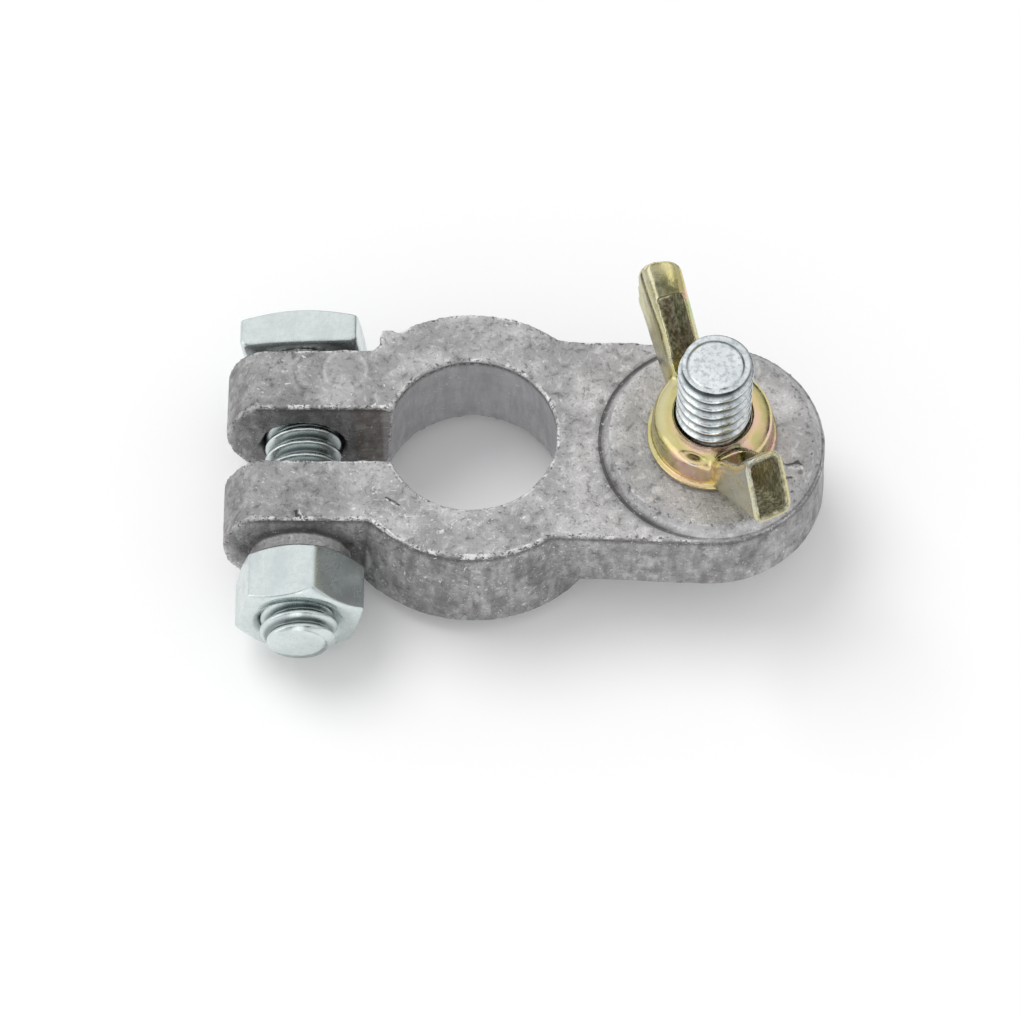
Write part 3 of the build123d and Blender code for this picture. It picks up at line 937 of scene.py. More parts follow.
@dataclass
class LeadCasting:
    """The collar with its ears, tongue and pad, as cast and knocked about, in millimetres.

    Each pit is x, z, radius and depth on the ears' front face.
    """

    finish: bpy.types.Material
    specks: SpeckScatter
    voxel_mm: float = 0.28
    smooth_passes: int = 7
    crisp_passes: int = 1
    top_z: float = 13.5
    bore_top_r: float = 9.35
    ring_top_r: float = 15.05
    slot_half: float = 3.2
    pin_centre: Spot = (-16.7, 7.7)
    mark_centre: Spot = (-13.7, 7.95)
    pad_centre: Spot = (25.73, -0.90)
    pad_top_r: float = 10.9
    foot_centre: Spot = (25.7, -0.9)
    foot_r: float = 12.0
    nick_depth: float = 0.40
    nicks: tuple[Stroke, ...] = (
        ((-18.8, -9.0), (-18.45, -10.5), 0.22), ((33.05, -4.05), (35.2, -4.2), 0.24))
    pits: tuple[tuple[float, float, float, float], ...] = (
        (-24.3, 7.0, 0.55, 0.45), (-13.3, 7.7, 0.5, 0.4), (-24.9, 4.4, 0.4, 0.3))
    uneven_layers: tuple[tuple[float, int, float], ...] = ((7.0, 1, 0.075), (2.1, 2, 0.035), (0.9, 3, 0.022))

    def uneven(self, places: np.ndarray) -> np.ndarray:
        """Height of the mould's unevenness over each point."""
        return sum(hashed_noise(places, cell, seed) * height for cell, seed, height in self.uneven_layers)

    def marks(self, places: np.ndarray, normals: np.ndarray) -> np.ndarray:
        """Depth of the nicks, pin marks and torn spots.

        Args:
            places: points in millimetres.
            normals: the surface's normals.

        Returns:
            Heights in millimetres, below zero where metal is missing.
        """
        x, y, z = places.T
        top = ease(normals[:, 2], 0.5, 0.9) * ease(z, self.top_z - 1.0, self.top_z - 0.4)
        depth = -0.06 * top * ease(np.hypot(x - self.pin_centre[0], y - self.pin_centre[1]), 2.5, 2.2)
        depth += 0.10 * top * ease(np.hypot(x - self.mark_centre[0], y - self.mark_centre[1]), 2.75, 2.45)
        for (ax, ay), (bx, by), width in self.nicks:
            run = np.array([bx - ax, by - ay])
            share = np.clip(((x - ax) * run[0] + (y - ay) * run[1]) / (run @ run), 0.0, 1.0)
            away = np.hypot(x - ax - share * run[0], y - ay - share * run[1])
            depth -= ease(normals[:, 2], 0.3, 0.8) * self.nick_depth * np.exp(-(away / width) ** 2)
        front = ease(-normals[:, 1], 0.6, 0.9) * ease(-y, 9.5, 10.2)
        for px, pz, radius, deep in self.pits:
            depth -= front * deep * np.exp(-(np.hypot(x - px, z - pz) / radius) ** 2)
        return depth

    def skin(self) -> bpy.types.Object:
        """Makes the casting's skin with its attribute edge and two attributes of painted shade, one for
        concave creases and one for a band under the top rim.

        Returns:
            The casting without a finish.
        """
        made = MeshBench.voxel_copy("clamp_body", "casting", self.voxel_mm)
        mesh = made.data
        edges = MeshBench.edges(mesh)
        crisp = MeshBench.blur(MeshBench.points(mesh), edges, self.crisp_passes)
        soft = MeshBench.blur(crisp, edges, self.smooth_passes)
        MeshBench.write(mesh, soft)
        normals = MeshBench.normals(mesh)
        curve = ((soft - MeshBench.blur(soft, edges, 2, 1.0)) * normals).sum(1)
        sharp = MeshBench.blur(curve, edges, 1) / self.voxel_mm
        places = soft + (crisp - soft) * ease(np.abs(sharp), 0.025, 0.07)[:, None]
        ragged = hashed_noise(places, 0.55, 9) * 0.12 + hashed_noise(places, 1.3, 10) * 0.08
        ragged = ease(sharp, 0.05, 0.22) * ragged
        places = places + normals * (self.uneven(places) + self.marks(places, normals) + ragged)[:, None]
        low, high = CAD_BOX
        places = np.clip(places, np.array(low) / MM, np.array(high) / MM)
        MeshBench.write(mesh, places)
        MeshBench.attribute(mesh, "edge", ease(sharp, 0.03, 0.16))
        x, y, z = places.T
        in_slot = (np.abs(y) < self.slot_half + 0.5) & (x < -8.2)
        # Painted shade: darker in concave creases, and slightly on the slot's walls that face along Y.
        crease_shade = np.where(in_slot & (np.abs(normals[:, 1]) > 0.6), 0.06, 0.0) + ease(-sharp, 0.025, 0.10)
        MeshBench.attribute(mesh, "crease_shade", np.clip(MeshBench.blur(crease_shade, edges, 2), 0.0, 1.0))
        # The attribute under is a painted shadow in a band on the side walls just below the top rim.
        band = np.exp(-((z - self.top_z + 0.55) / 0.42) ** 2)
        MeshBench.attribute(mesh, "under", ease(normals[:, 2], 0.55, 0.2) * band)
        return made

    def rim_lines(self) -> list[np.ndarray]:
        """Lines of the torn edges round the top face.

        Returns:
            Point lists in millimetres.
        """
        def arc(cx: float, cy: float, radius: float, start: float, stop: float, z: float) -> np.ndarray:
            angles = np.radians(np.linspace(start, stop, 60))
            return np.stack([cx + radius * np.cos(angles), cy + radius * np.sin(angles),
                             np.full(60, z)], 1)
        rim = self.top_z - 0.12
        return [
            arc(0, 0, self.bore_top_r, 20, 158, rim), arc(0, 0, self.bore_top_r, -150, -60, rim),
            arc(0, 0, self.ring_top_r - 0.15, 232, 300, rim),
            np.array([[-9.9, -10.4, rim], [-6.6, -13.4, rim]]),
            np.array([[-17.0, -10.3, rim], [-10.5, -10.3, rim]]),
            np.array([[-18.0, 3.35, rim], [-9.4, 3.35, rim]]),
            arc(*self.pad_centre, self.pad_top_r, 200, 330, 14.8),
            arc(*self.foot_centre, self.foot_r, -100, 60, rim),
        ]

    def build(self) -> None:
        """Builds the casting and its torn edges, and hangs them on the clamp's body."""
        made = self.skin()
        made.data.materials.append(self.finish)
        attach(made, "clamp")
        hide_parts("clamp_body")
        LOG.info("casting: %d faces", len(made.data.polygons))
        chips = self.specks.scatter("edge_chips", self.rim_lines(), self.finish, 0.55, 0.15, 0.14, 5)
        MeshBench.attribute(chips, "edge", np.ones(len(chips.vertices)))
        MeshBench.shade(chips)
        chip_piece = MeshBench.object_of("edge_chips", chips)
        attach(chip_piece, "clamp")
        LOG.info("edge chips: %d faces", len(chips.polygons))


class Lathe:
    """Collects rings about the Z axis, with a mark for the threaded ones."""

    def __init__(self, count: int) -> None:
        """Starts empty.

        Args:
            count: points in each ring.
        """
        self.angles = np.linspace(0.0, 2.0 * math.pi, count, endpoint=False)
        self.rings: list[np.ndarray] = []
        self.thread: list[float] = []

    def ring(self, radius: object, height: object, threaded: float = 0.0) -> None:
        """Adds one ring.

        Args:
            radius: one radius or one for each point.
            height: one height or one for each point.
            threaded: 1 for a screw's wall, -1 for a bore's wall, 0 for neither.
        """
        reach = np.broadcast_to(np.asarray(radius, float), self.angles.shape)
        level = np.broadcast_to(np.asarray(height, float), self.angles.shape)
        self.rings.append(np.stack([reach * np.cos(self.angles), reach * np.sin(self.angles), level], 1))
        self.thread.append(threaded)

    def wall(self, radius: float, low: float, high: float, step: float, threaded: float) -> None:
        """Adds a straight round wall.

        Args:
            radius: its radius.
            low: first height.
            high: last height.
            step: distance between rings.
            threaded: mark of its rings.
        """
        for height in np.linspace(low, high, max(2, int(abs(high - low) / step) + 1)):
            self.ring(radius, height, threaded)

    def prism(self, outline: np.ndarray, flat: float, low: float, high: float, low_slope: float,
              high_slope: float, soft: float, high_round: float = 0.15) -> None:
        """Adds a prism's wall whose ends are cut by cones.

        Args:
            outline: the prism's radius at each point.
            flat: radius of the flat end inside each cone.
            low: height of the first end.
            high: height of the last end.
            low_slope: rise per radius of the first cone, 0 for a plain end.
            high_slope: rise per radius of the last cone, 0 for a plain end.
            soft: rounding length of the crossings.
            high_round: rounding radius along the last end's outline.
        """
        span = high - low
        near = np.concatenate([np.linspace(0.0, 0.34 * span, 20), [0.45 * span]])
        heights = np.unique(np.concatenate([near, span - near]))
        for drop in heights:
            reach = outline
            if low_slope:
                reach = soft_min(reach, flat + drop / low_slope, soft)
            if high_slope:
                reach = soft_min(reach, flat + (span - drop) / high_slope, soft)
            if drop < 0.15:
                reach = reach - 0.12 * (1.0 - drop / 0.15) ** 2
            if span - drop < high_round:
                curl = 1.0 - (span - drop) / high_round
                reach = reach - high_round * (1.0 - math.sqrt(1.0 - 0.98 * curl ** 2))
            self.ring(reach, low + drop)

    def mesh(self, name: str, closed: bool = False) -> bpy.types.Mesh:
        """Joins the rings to a mesh with the attribute threaded.

        Args:
            name: the mesh's name.
            closed: joins the last ring to the first one.

        Returns:
            The mesh about the Z axis.
        """
        made = MeshBench.ring_stack(name, self.rings, closed)
        marks = np.repeat(self.thread, len(self.angles))
        marks = np.concatenate([marks, np.zeros(len(made.vertices) - len(marks))])
        MeshBench.attribute(made, "threaded", marks)
        return made


@dataclass
class TerminalStud:
    """Hexagon-headed stud with a rolled thread, in millimetres.

    Each end ring is its drop below the top, its radius and its share of the thread.
    """

    finish: bpy.types.Material
    cutter: ThreadCutter
    x: float = STUD_X
    y: float = STUD_Y
    bottom: float = 4.0
    top: float = 29.9
    radius: float = 3.98
    head_af: float = 12.7
    head_h: float = 5.2
    pitch: float = 1.65
    depth: float = 0.80
    turn: float = math.radians(-2.0)
    end_rings: tuple[Triple, ...] = (
        (0.42, 3.92, 0.9), (0.36, 3.80, 0.6), (0.32, 3.55, 0.3), (0.30, 3.28, 0.1), (0.28, 3.08, 0.0),
        (0.22, 2.96, 0.0), (0.10, 2.86, 0.0), (0.03, 2.76, 0.0), (0.0, 2.62, 0.0),
    )

    def build(self) -> None:
        """Builds the stud in place of its plain solid."""
        lathe = Lathe(160)
        half = self.head_af / 2.0
        outline = polygon_radius(lathe.angles, 6, half - 0.03, math.radians(30.0) + self.turn, 0.10)
        lathe.ring(2.0, self.bottom)
        lathe.ring(half - 0.7, self.bottom)
        lathe.prism(outline, half - 0.4, self.bottom, self.bottom + self.head_h, 0.9, 0.0, 0.06)
        lathe.ring(self.radius + 0.3, self.bottom + self.head_h)
        lathe.wall(self.radius, self.bottom + self.head_h + 0.2, self.top - 0.50, 0.08, 1.0)
        for drop, reach, threaded in self.end_rings:
            lathe.ring(reach, self.top - drop, threaded)
        for reach in (2.3, 1.8, 1.2, 0.6):
            lathe.ring(reach, self.top - 0.01)
        mesh = self.cutter.cut(lathe.mesh("stud"), self.finish, self.pitch, self.depth,
                               15.5, self.top + 0.8, 0.6, 0.856)
        x, y, z = MeshBench.points(mesh).T
        # Painted shade: a dark crescent in the end's chamfer, strongest towards the back left, stored in
        # groove.
        ring = np.exp(-((np.hypot(x, y) - 3.08) / 0.22) ** 2) * ease(z, self.top - 0.45, self.top - 0.35)
        ring *= 0.22 + 0.42 * (0.5 + 0.5 * np.cos(np.arctan2(y, x) - math.radians(140.0))) ** 2
        groove = np.array([item.value for item in mesh.attributes["groove"].data])
        mesh.attributes["groove"].data.foreach_set("value", np.maximum(groove, ring).astype(np.float32))
        mesh.transform(Matrix.Translation(Vector((self.x, self.y, 0.0)) * MM))
        MeshBench.shade(mesh)
        made = MeshBench.object_of("stud", mesh)
        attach(made, "clamp")
        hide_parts("terminal_stud")
        LOG.info("stud: %d faces", len(mesh.polygons))


@dataclass
class PinchHardware:
    """Square-headed pinch bolt and its hexagon nut, both along the bolt's axis, in millimetres."""

    finish: bpy.types.Material
    cutter: ThreadCutter
    x: float = BOLT_X
    z: float = BOLT_Z
    seat_y: float = 12.35
    bolt_radius: float = 4.15
    bolt_end_y: float = -21.35
    pitch: float = 1.6
    depth: float = 0.92
    tip_radius: float = 3.3
    head_af: float = 13.0
    head_h: float = 4.25
    head_slope: float = math.radians(20.0)
    head_turn: float = math.radians(-5.5)
    nut_af: float = 12.75
    nut_h: float = 6.35
    nut_turn: float = math.radians(-16.3)
    nut_mouth: float = 4.95

    def stand(self, mesh: bpy.types.Mesh) -> None:
        """Turns a mesh made along Z so that its +Z points along -Y, and moves it onto the axis."""
        tip = Matrix.Rotation(math.radians(90.0), 4, "X")
        mesh.transform(Matrix.Translation(Vector((self.x, 0.0, self.z)) * MM) @ tip)
        MeshBench.shade(mesh)

    def bolt(self) -> bpy.types.Mesh:
        """Builds the bolt.

        Returns:
            The bolt's mesh in place.
        """
        lathe = Lathe(192)
        half = self.head_af / 2.0
        outline = polygon_radius(lathe.angles, 4, half - 0.03, -self.head_turn, 0.32)
        back, seat = -self.seat_y - self.head_h, -self.seat_y
        for reach in (1.5, 3.5, 5.0, half - 0.7):
            lathe.ring(reach, back + 0.01)
        lathe.prism(outline, half - 0.3, back, seat, math.tan(self.head_slope), 0.0, 0.10, 0.85)
        lathe.ring(self.bolt_radius + 1.0, seat)
        lathe.ring(self.bolt_radius + 0.3, seat)
        end = -self.bolt_end_y
        lathe.wall(self.bolt_radius, seat + 0.3, end - 1.0, 0.10, 1.0)
        for share in np.linspace(0.08, 1.0, 10):
            reach = self.bolt_radius - (self.bolt_radius - self.tip_radius) * share ** 1.3
            lathe.ring(reach, end - 1.0 + 0.95 * share, 1.0 - 0.7 * share)
        lathe.ring(self.tip_radius - 0.15, end)
        for reach in (2.4, 1.6, 0.8):
            lathe.ring(reach, end)
        mesh = self.cutter.cut(lathe.mesh("square_bolt"), self.finish, self.pitch, self.depth,
                               seat + 3.0, end + 0.7, 0.8, 0.594)
        self.stand(mesh)
        return mesh

    def nut(self) -> bpy.types.Mesh:
        """Builds the nut.

        Returns:
            The nut's mesh in place.
        """
        lathe = Lathe(192)
        half = self.nut_af / 2.0
        outline = polygon_radius(lathe.angles, 6, half - 0.03, math.radians(30.0) - self.nut_turn, 0.10)
        low, high = self.seat_y, self.seat_y + self.nut_h
        slope = math.tan(math.radians(30.0))
        bore = self.bolt_radius + 0.10
        lathe.ring(self.nut_mouth + 0.1, low)
        lathe.ring(half - 0.6, low)
        lathe.prism(outline, half - 0.25, low, high, slope, slope, 0.07)
        lathe.ring(half - 0.6, high)
        lathe.ring(self.nut_mouth + 0.1, high)
        lathe.ring(self.nut_mouth, high - 0.03)
        deep = self.nut_mouth - bore
        lathe.wall(bore, high - deep, low + deep, 0.12, 1.0)
        lathe.ring(self.nut_mouth, low + 0.03)
        mesh = self.cutter.cut(lathe.mesh("hex_nut", closed=True), self.finish, self.pitch,
                               self.depth - 0.06, low + 0.3, high - 0.3, 0.5)
        self.stand(mesh)
        return mesh

    def build(self) -> None:
        """Builds the bolt and the nut in place of their plain solids."""
        for mesh, body, node in ((self.bolt(), "pinch_bolt", "pinch_bolt"),
                                 (self.nut(), "pinch_nut", "pinch_nut")):
            made = MeshBench.object_of(mesh.name, mesh)
            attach(made, body)
            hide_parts(node)
            LOG.info("%s: %d faces", made.name, len(mesh.polygons))


@dataclass
class WingNut:
    """Pressed sheet wing nut, in millimetres.

    Tops and lows are (reach out from the axis, height) of each wing's upper and lower side.
    """

    finish: bpy.types.Material
    x: float = STUD_X
    y: float = STUD_Y
    base_z: float = 14.9
    azimuth: float = math.radians(26.0)
    voxel_mm: float = 0.16
    sheet: float = 0.65
    width: float = 4.3
    root_top: Spot = (4.75, 4.6)
    tip_top: Spot = (12.3, 16.2)
    root_low: Spot = (7.1, 0.75)
    tip_lows: tuple[Spot, Spot] = ((13.8, 7.6), (15.0, 8.2))
    offsets: Spot = (0.0, -0.9)
    slot_end: float = 9.35
    rim_share: float = 0.55
    dent_turn: float = math.radians(-112.0)
    dent_depth: float = 0.55
    dent_lip: float = 0.14

    def axes(self, which: int) -> tuple[np.ndarray, np.ndarray]:
        """Flat directions out along one wing, and across both."""
        turn = self.azimuth + math.pi * which
        return (np.array([-math.sin(turn), math.cos(turn)]),
                np.array([math.cos(self.azimuth), math.sin(self.azimuth)]))

    def wing_frame(self, local: np.ndarray, which: int) -> tuple[np.ndarray, np.ndarray, np.ndarray]:
        """Places in one wing's own frame.

        Args:
            local: points about the hub's axis in millimetres.
            which: 0 for the back wing, 1 for the front one.

        Returns:
            Reach out from the axis, height, and place across the wing, positive to the image's right.
        """
        out, across = self.axes(which)
        return local[:, :2] @ out, local[:, 2], local[:, :2] @ across - self.offsets[which]

    @staticmethod
    def beyond(r: np.ndarray, z: np.ndarray, first: Spot, second: Spot) -> tuple[np.ndarray, np.ndarray]:
        """Distance of points to the left of a line in (r, z), and their place along it.

        Args:
            r: the points' reach out from the axis.
            z: their heights.
            first: one point of the line.
            second: a later point of it.

        Returns:
            Distance, below 0 to the line's right, and place along it from the first point.
        """
        step = np.array(second) - np.array(first)
        length = float(np.hypot(*step))
        dr, dz = r - first[0], z - first[1]
        return (step[0] * dz - step[1] * dr) / length, (step[0] * dr + step[1] * dz) / length

    def tint(self, local: np.ndarray) -> tuple[np.ndarray, np.ndarray]:
        """Thickness of the film and the hollows' inner skin.

        Args:
            local: points about the hub's axis in millimetres.

        Returns:
            The values of film and inside.
        """
        angle = np.degrees(np.arctan2(local[:, 1], local[:, 0]))
        reach = np.hypot(local[:, 0], local[:, 1])

        def bump(centre: float, width: float) -> np.ndarray:
            away = (angle - centre + 180.0) % 360.0 - 180.0
            return np.exp(-(away / width) ** 2)
        film = 0.24 + 0.22 * bump(-105.0, 42.0) + 0.32 * bump(-14.0, 20.0) + 0.10 * bump(40.0, 30.0)
        film += 0.10 * np.sin(reach * 3.1) + 0.05 * hashed_noise(local, 1.6, 21)
        film += 0.55 * np.exp(-(((local[:, 0] - 3.0) / 1.6) ** 2 + ((local[:, 1] + 4.9) / 1.5) ** 2)) * ease(
            local[:, 2], 3.6, 4.8)
        inside = np.zeros(len(local))
        for which in (0, 1):
            r, z, across = self.wing_frame(local, which)
            drop, along = self.beyond(r, z, self.root_top, self.tip_top)
            rise, _ = self.beyond(r, z, self.root_low, self.tip_lows[which])
            on_wing = (along > 0.6) & (r > 5.2) & (reach > 6.7)
            skin = self.sheet * self.rim_share
            deep = (np.abs(across) < self.width / 2 - skin) & (drop < -skin)
            inside[on_wing & deep & (rise > skin)] = 1.0
            side = np.clip(across / (self.width / 2), -1.0, 1.0)
            if which == 0:
                share = np.clip(along / 13.8, 0.0, 1.0)
                tone = 0.22 + 0.10 * side + 0.52 * ease(side, -0.1, 0.9) * ease(share, 0.80, 0.60)
                tone += 0.14 * np.exp(-((along - 12.3) / 1.1) ** 2 - ((across - 0.4) / 1.2) ** 2)
                tone = np.where(side < -0.55, 0.06 + 0.12 * share, tone)
            else:
                tone = 0.05 + 0.16 * ease(along, 4.5, 1.5) + 0.10 * (1.0 + side)
            tone = tone + 0.05 * hashed_noise(local, 1.3, 22)
            film = np.where(on_wing, tone, film)
        return np.clip(film, 0.0, 1.0), inside

    def slot_lip_highlight(self, local: np.ndarray) -> np.ndarray:
        """Painted highlight on the lip at the upper end of the back wing's slot.

        Args:
            local: points about the hub's axis in millimetres.

        Returns:
            1 on the lip, 0 away from it.
        """
        r, z, across = self.wing_frame(local, 0)
        drop, along = self.beyond(r, z, self.root_top, self.tip_top)
        lip = np.exp(-((along - 0.25 * across - self.slot_end - 0.30) / 0.26) ** 2)
        lip *= ease(np.abs(across), 1.7, 1.2)
        return lip * ease(drop, -2.0, -1.4) * (r > 5.0)

    def lower_walls(self) -> tuple[np.ndarray, ...]:
        """Full sheet thickness along the lower side of both wings.

        Returns:
            Eight corners of each wall in millimetres.
        """
        walls = []
        for which, tip in enumerate(self.tip_lows):
            root, end = np.array(self.root_low), np.array(tip)
            along = (end - root) / np.hypot(*(end - root))
            inward = np.array([-along[1], along[0]]) * self.sheet
            outline = (root + along * 1.2, end, end + inward, root + along * 1.2 + inward)
            out, across = self.axes(which)
            corners = []
            for aside in (-1.0, 1.0):
                shift = across * (self.offsets[which] + aside * (self.width / 2 - 0.45))
                corners += [np.array([*(out * r + shift), z]) for r, z in outline]
            walls.append(np.array(corners) + np.array([self.x, self.y, self.base_z]))
        return tuple(walls)

    def bend(self, local: np.ndarray) -> np.ndarray:
        """How far the press drew each wing's tip out of its plain shape.

        Args:
            local: points about the hub's axis in millimetres.

        Returns:
            Moves in millimetres.
        """
        moves = np.zeros_like(local)
        for which, reach_out in ((0, 1.4), (1, 0.7)):
            r, z, across = self.wing_frame(local, which)
            _, along = self.beyond(r, z, self.root_top, self.tip_top)
            side = np.clip(across / (self.width / 2), -1.0, 1.0)
            if which == 0:
                amount = reach_out * (0.5 - 0.5 * side) + 0.4 * (1.0 - side ** 2)
                amount = amount * ease(along, 7.0, 13.0)
            else:
                amount = reach_out * ease(along, 3.0, 9.0) * ease(z, 16.0, 9.0)
            moves[:, :2] += np.where(r > 5.0, amount, 0.0)[:, None] * self.axes(which)[0]
        return moves

    def dent(self, local: np.ndarray) -> tuple[np.ndarray, np.ndarray]:
        """The small dent in the hub's crown, and the lip that it threw up below itself.

        Args:
            local: points about the hub's axis in millimetres.

        Returns:
            1 in the dent and 1 on the lip, 0 away from them.
        """
        sine, cosine = math.sin(self.dent_turn), math.cos(self.dent_turn)
        tangent = local[:, 1] * cosine - local[:, 0] * sine
        reach = local[:, 0] * cosine + local[:, 1] * sine
        level = 0.48 * (local[:, 2] - 4.75) - 0.877 * (reach - 5.7)
        near_crown = ease(reach, 4.2, 5.0) * ease(local[:, 2], 2.9, 3.3)
        hollow = np.exp(-(tangent / 1.05) ** 2 - (level / 0.32) ** 2) * near_crown
        lip = np.exp(-(tangent / 1.15) ** 2 - ((level + 0.75) / 0.26) ** 2) * near_crown
        return hollow, lip

    def build(self) -> None:
        """Builds the wing nut in place of its plain solid."""
        made = MeshBench.voxel_copy("wing_nut", "pressed_wing_nut", self.voxel_mm, self.lower_walls())
        mesh = made.data
        edges = MeshBench.edges(mesh)
        places = MeshBench.blur(MeshBench.points(mesh), edges, 5)
        centre = np.array([self.x, self.y, self.base_z])
        local = places - centre
        reach = np.hypot(local[:, 0], local[:, 1])
        round_off = ease(local[:, 2], 1.3, 2.4) * ease(reach, 7.3, 6.7) * ease(reach, 4.3, 4.8)
        places = places + (MeshBench.blur(places, edges, 30) - places) * round_off[:, None]
        MeshBench.write(mesh, places)
        normals = MeshBench.normals(mesh)
        curve = ((places - MeshBench.blur(places, edges, 2, 1.0)) * normals).sum(1) / self.voxel_mm
        local = places - centre
        film, inside = self.tint(local)
        bright = self.slot_lip_highlight(local)
        bent = self.bend(local)
        places = places + bent
        dent, lip = self.dent(local + bent)
        places = places + normals * (self.dent_lip * lip - self.dent_depth * dent)[:, None]
        ripple = 0.035 * hashed_noise(places, 3.2, 31) + 0.012 * hashed_noise(places, 0.9, 32)
        places += normals * ripple[:, None]
        MeshBench.write(mesh, places)
        MeshBench.attribute(mesh, "film", MeshBench.blur(film, edges, 6))
        MeshBench.attribute(mesh, "inside", MeshBench.blur(inside, edges, 2))
        # Painted shade in the crown's dent.
        MeshBench.attribute(mesh, "dent_shade", dent)
        # The attribute edge holds painted highlights: convex edges, the slot's lip and the dent's lip.
        rim = ease(MeshBench.blur(curve, edges, 1), 0.10, 0.26)
        MeshBench.attribute(mesh, "edge", np.maximum(rim, np.maximum(bright, lip * 0.9)))
        mesh.materials.append(self.finish)
        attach(made, "wing_nut")
        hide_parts("wing_nut")
        LOG.info("wing nut: %d faces", len(mesh.polygons))


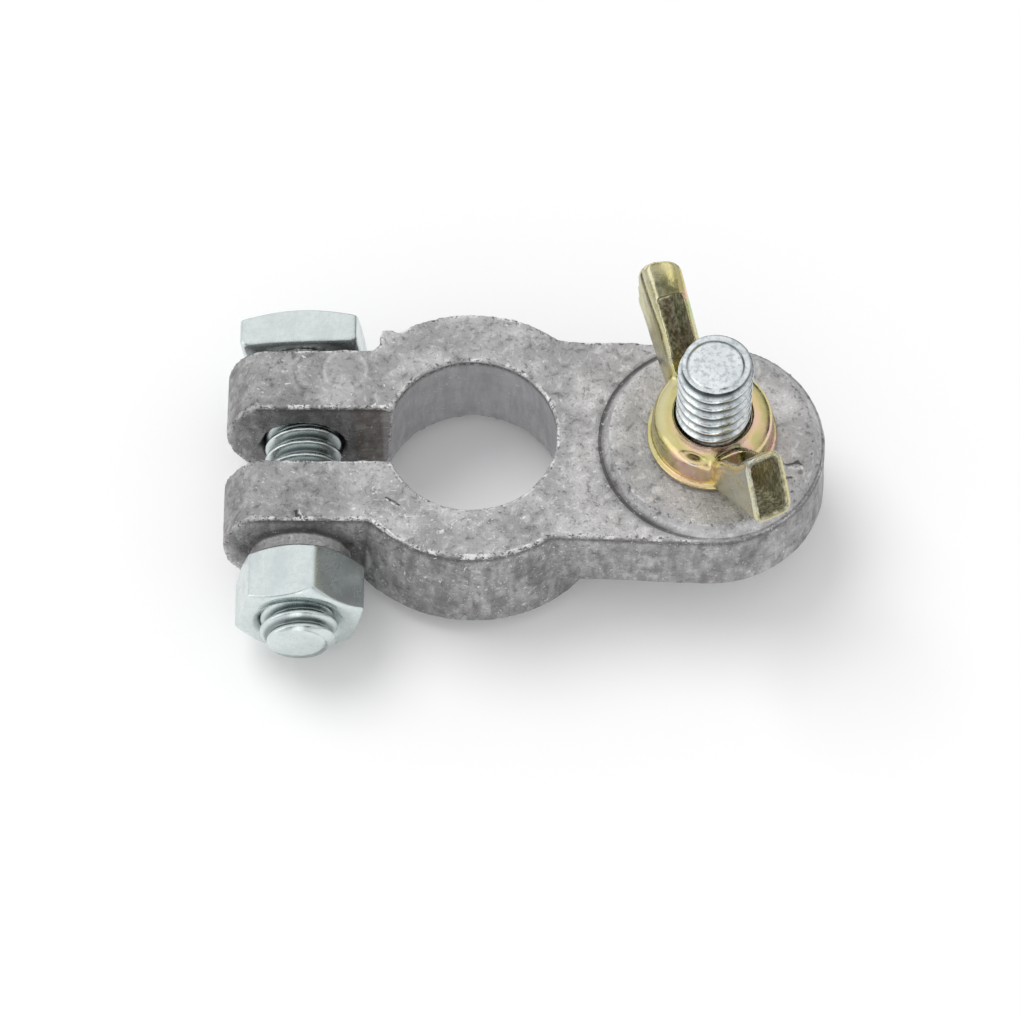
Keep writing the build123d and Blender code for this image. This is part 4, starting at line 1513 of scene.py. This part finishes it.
@dataclass(frozen=True)
class Studio:
    """Pale table, soft daylight from above and the camera at the photograph's angle, in metres."""

    focal_px: float = 5112.8
    frame_px: float = 1020.0
    distance: float = 0.56146
    elevation: float = math.radians(61.272)
    yaw: float = math.radians(0.441)
    roll: float = math.radians(-0.221)
    slide: tuple[float, float] = (0.004089, -0.001658)
    floor_z: float = -0.0018
    lamp_from: tuple[float, float, float] = (-0.38, 0.34, 0.86)
    lamp_angle: float = math.radians(36.0)
    lamp_power: float = 1.30
    room_strength: float = 0.95

    def camera(self) -> None:
        """Places the camera."""
        back = Vector((math.sin(self.yaw) * math.cos(self.elevation),
                       -math.cos(self.yaw) * math.cos(self.elevation), math.sin(self.elevation)))
        side = Vector((0.0, 0.0, 1.0)).cross(back).normalized()
        rise = back.cross(side)
        right = math.cos(self.roll) * side + math.sin(self.roll) * rise
        up = -math.sin(self.roll) * side + math.cos(self.roll) * rise
        lens = bpy.data.cameras.new("camera")
        lens.sensor_width = 36.0
        lens.lens = self.focal_px * 36.0 / self.frame_px
        lens.clip_start, lens.clip_end = 0.05, 20.0
        made = bpy.data.objects.new("camera", lens)
        turn = Matrix((right, up, back)).transposed().to_4x4()
        place = right * self.slide[0] + up * self.slide[1] + back * self.distance
        made.matrix_world = Matrix.Translation(place) @ turn
        bpy.context.scene.collection.objects.link(made)
        bpy.context.scene.camera = made

    def floor(self) -> None:
        """Lays the table, which shows white where nothing shades it."""
        mesh = bpy.data.meshes.new("table")
        reach = 0.20
        mesh.from_pydata([(-reach, -reach, self.floor_z), (reach, -reach, self.floor_z),
                          (reach, reach, self.floor_z), (-reach, reach, self.floor_z)], [], [(0, 1, 2, 3)])
        made = MeshBench.object_of("table", mesh)
        material = bpy.data.materials.new("table_white")
        material.use_nodes = True
        tree = material.node_tree
        tree.nodes.clear()
        w = Wiring(tree)
        matt = w.add("ShaderNodeBsdfDiffuse", {"Color": (0.86, 0.86, 0.865)})
        glow = w.add("ShaderNodeEmission", {"Color": WHITE, "Strength": 0.10})
        path = w.add("ShaderNodeLightPath")
        seen = w.plus(path.outputs["Is Camera Ray"], path.outputs["Is Glossy Ray"])
        seen = w.math("ADD", seen, path.outputs["Is Transmission Ray"], clamp=True)
        dark = w.add("ShaderNodeEmission", {"Color": (0.0, 0.0, 0.0), "Strength": 0.0})
        lit = w.add("ShaderNodeMixShader", {0: seen, 1: dark.outputs[0], 2: glow.outputs[0]})
        both = w.add("ShaderNodeAddShader", {0: matt.outputs[0], 1: lit.outputs[0]})
        w.add("ShaderNodeOutputMaterial", {"Surface": both.outputs[0]})
        mesh.materials.append(material)

    def lights(self) -> None:
        """Sets the skylight and the room, whose walls darken towards the horizon."""
        lamp = bpy.data.lights.new("skylight", "SUN")
        lamp.angle = self.lamp_angle
        lamp.energy = self.lamp_power
        made = bpy.data.objects.new("skylight", lamp)
        made.rotation_euler = Vector(self.lamp_from).to_track_quat("Z", "Y").to_euler()
        made.visible_glossy = False
        bpy.context.scene.collection.objects.link(made)
        world = bpy.data.worlds.new("room")
        bpy.context.scene.world = world
        world.use_nodes = True
        tree = world.node_tree
        tree.nodes.clear()
        w = Wiring(tree)
        ray = w.add("ShaderNodeTexCoord").outputs["Generated"]
        x, y, z = w.add("ShaderNodeSeparateXYZ", {0: ray}).outputs
        rise = w.spread(z, 0.0, 1.0, smooth=False)
        wall = w.ramp(rise, [(0.0, (0.68, 0.68, 0.69)), (0.3, (0.84, 0.84, 0.85)),
                             (0.6, (0.91, 0.91, 0.92)), (1.0, (1.0, 1.0, 1.0))])
        dim = w.ramp(rise, [(0.0, (0.07, 0.07, 0.075)), (0.10, (0.12, 0.12, 0.125)),
                            (0.34, (0.50, 0.50, 0.51)), (0.60, (0.90, 0.90, 0.91)), (1.0, (1.0, 1.0, 1.0))])
        away = w.times(w.plus(x, y), 0.707)
        shade = w.mix(w.spread(away, 0.50, 0.80), wall, dim)
        left = w.spread(w.minus(w.times(y, 0.3), x), -0.6, 0.9, 0.94, 1.14)
        shade = w.mix(1.0, shade, w.grey(left), "MULTIPLY")
        high = w.times(w.spread(z, 0.20, 0.34), w.spread(z, 0.72, 0.60))
        near = w.spread(y, -0.42, -0.58)
        wide = w.times(w.spread(w.size(x), 0.17, 0.26), w.spread(w.size(x), 0.60, 0.48))
        card = w.times(w.times(high, near), w.times(wide, 0.85))
        shade = w.mix(card, shade, (0.08, 0.10, 0.10))
        aim = w.plus(w.times(x, -0.867), w.times(y, -0.378), w.times(z, 0.326))
        strip = w.times(w.spread(w.size(x), 0.20, 0.12), w.spread(y, -0.80, -0.92))
        glint = w.most(w.spread(aim, 0.90, 0.955), strip)
        shade = w.mix(glint, shade, (1.55, 1.55, 1.55))
        front = w.spread(y, 0.7, -0.7, 0.90, 1.14)
        fill = w.times(w.spread(z, -0.1, 1.0, 0.56, 0.80, smooth=False), front)
        path = w.add("ShaderNodeLightPath")
        shade = w.mix(path.outputs["Is Diffuse Ray"], shade, w.grey(fill))
        room = w.add("ShaderNodeBackground", {"Color": shade, "Strength": self.room_strength})
        plain = w.add("ShaderNodeBackground", {"Color": WHITE, "Strength": 1.0})
        mixed = w.add("ShaderNodeMixShader", {0: path.outputs["Is Camera Ray"], 1: room.outputs[0],
                                              2: plain.outputs[0]})
        w.add("ShaderNodeOutputWorld", {"Surface": mixed.outputs[0]})

    def build(self) -> None:
        """Builds the table, the lights and the camera."""
        self.camera()
        self.floor()
        self.lights()
        bpy.context.scene.view_settings.view_transform = "Standard"
        LOG.info("studio ready")


def main() -> None:
    """Builds every piece in order."""
    logging.basicConfig(level=logging.INFO, format="%(name)s: %(message)s")
    cutter = ThreadCutter()
    LeadCasting(CastLead().build(), SpeckScatter()).build()
    # The stud's threads get a darker painted shade in their roots.
    bright = ZincPlate("bright_zinc", (0.86, 0.90, 0.915), (0.50, 0.56, 0.58), 0.16,
                       root=(0.035, 0.048, 0.048), root_dark=0.95, mottle=0.9)
    TerminalStud(bright.build(), cutter).build()
    PinchHardware(ZincPlate().build(), cutter).build()
    WingNut(YellowZinc().build()).build()
    Studio().build()


if __name__ == "__main__":
    main()
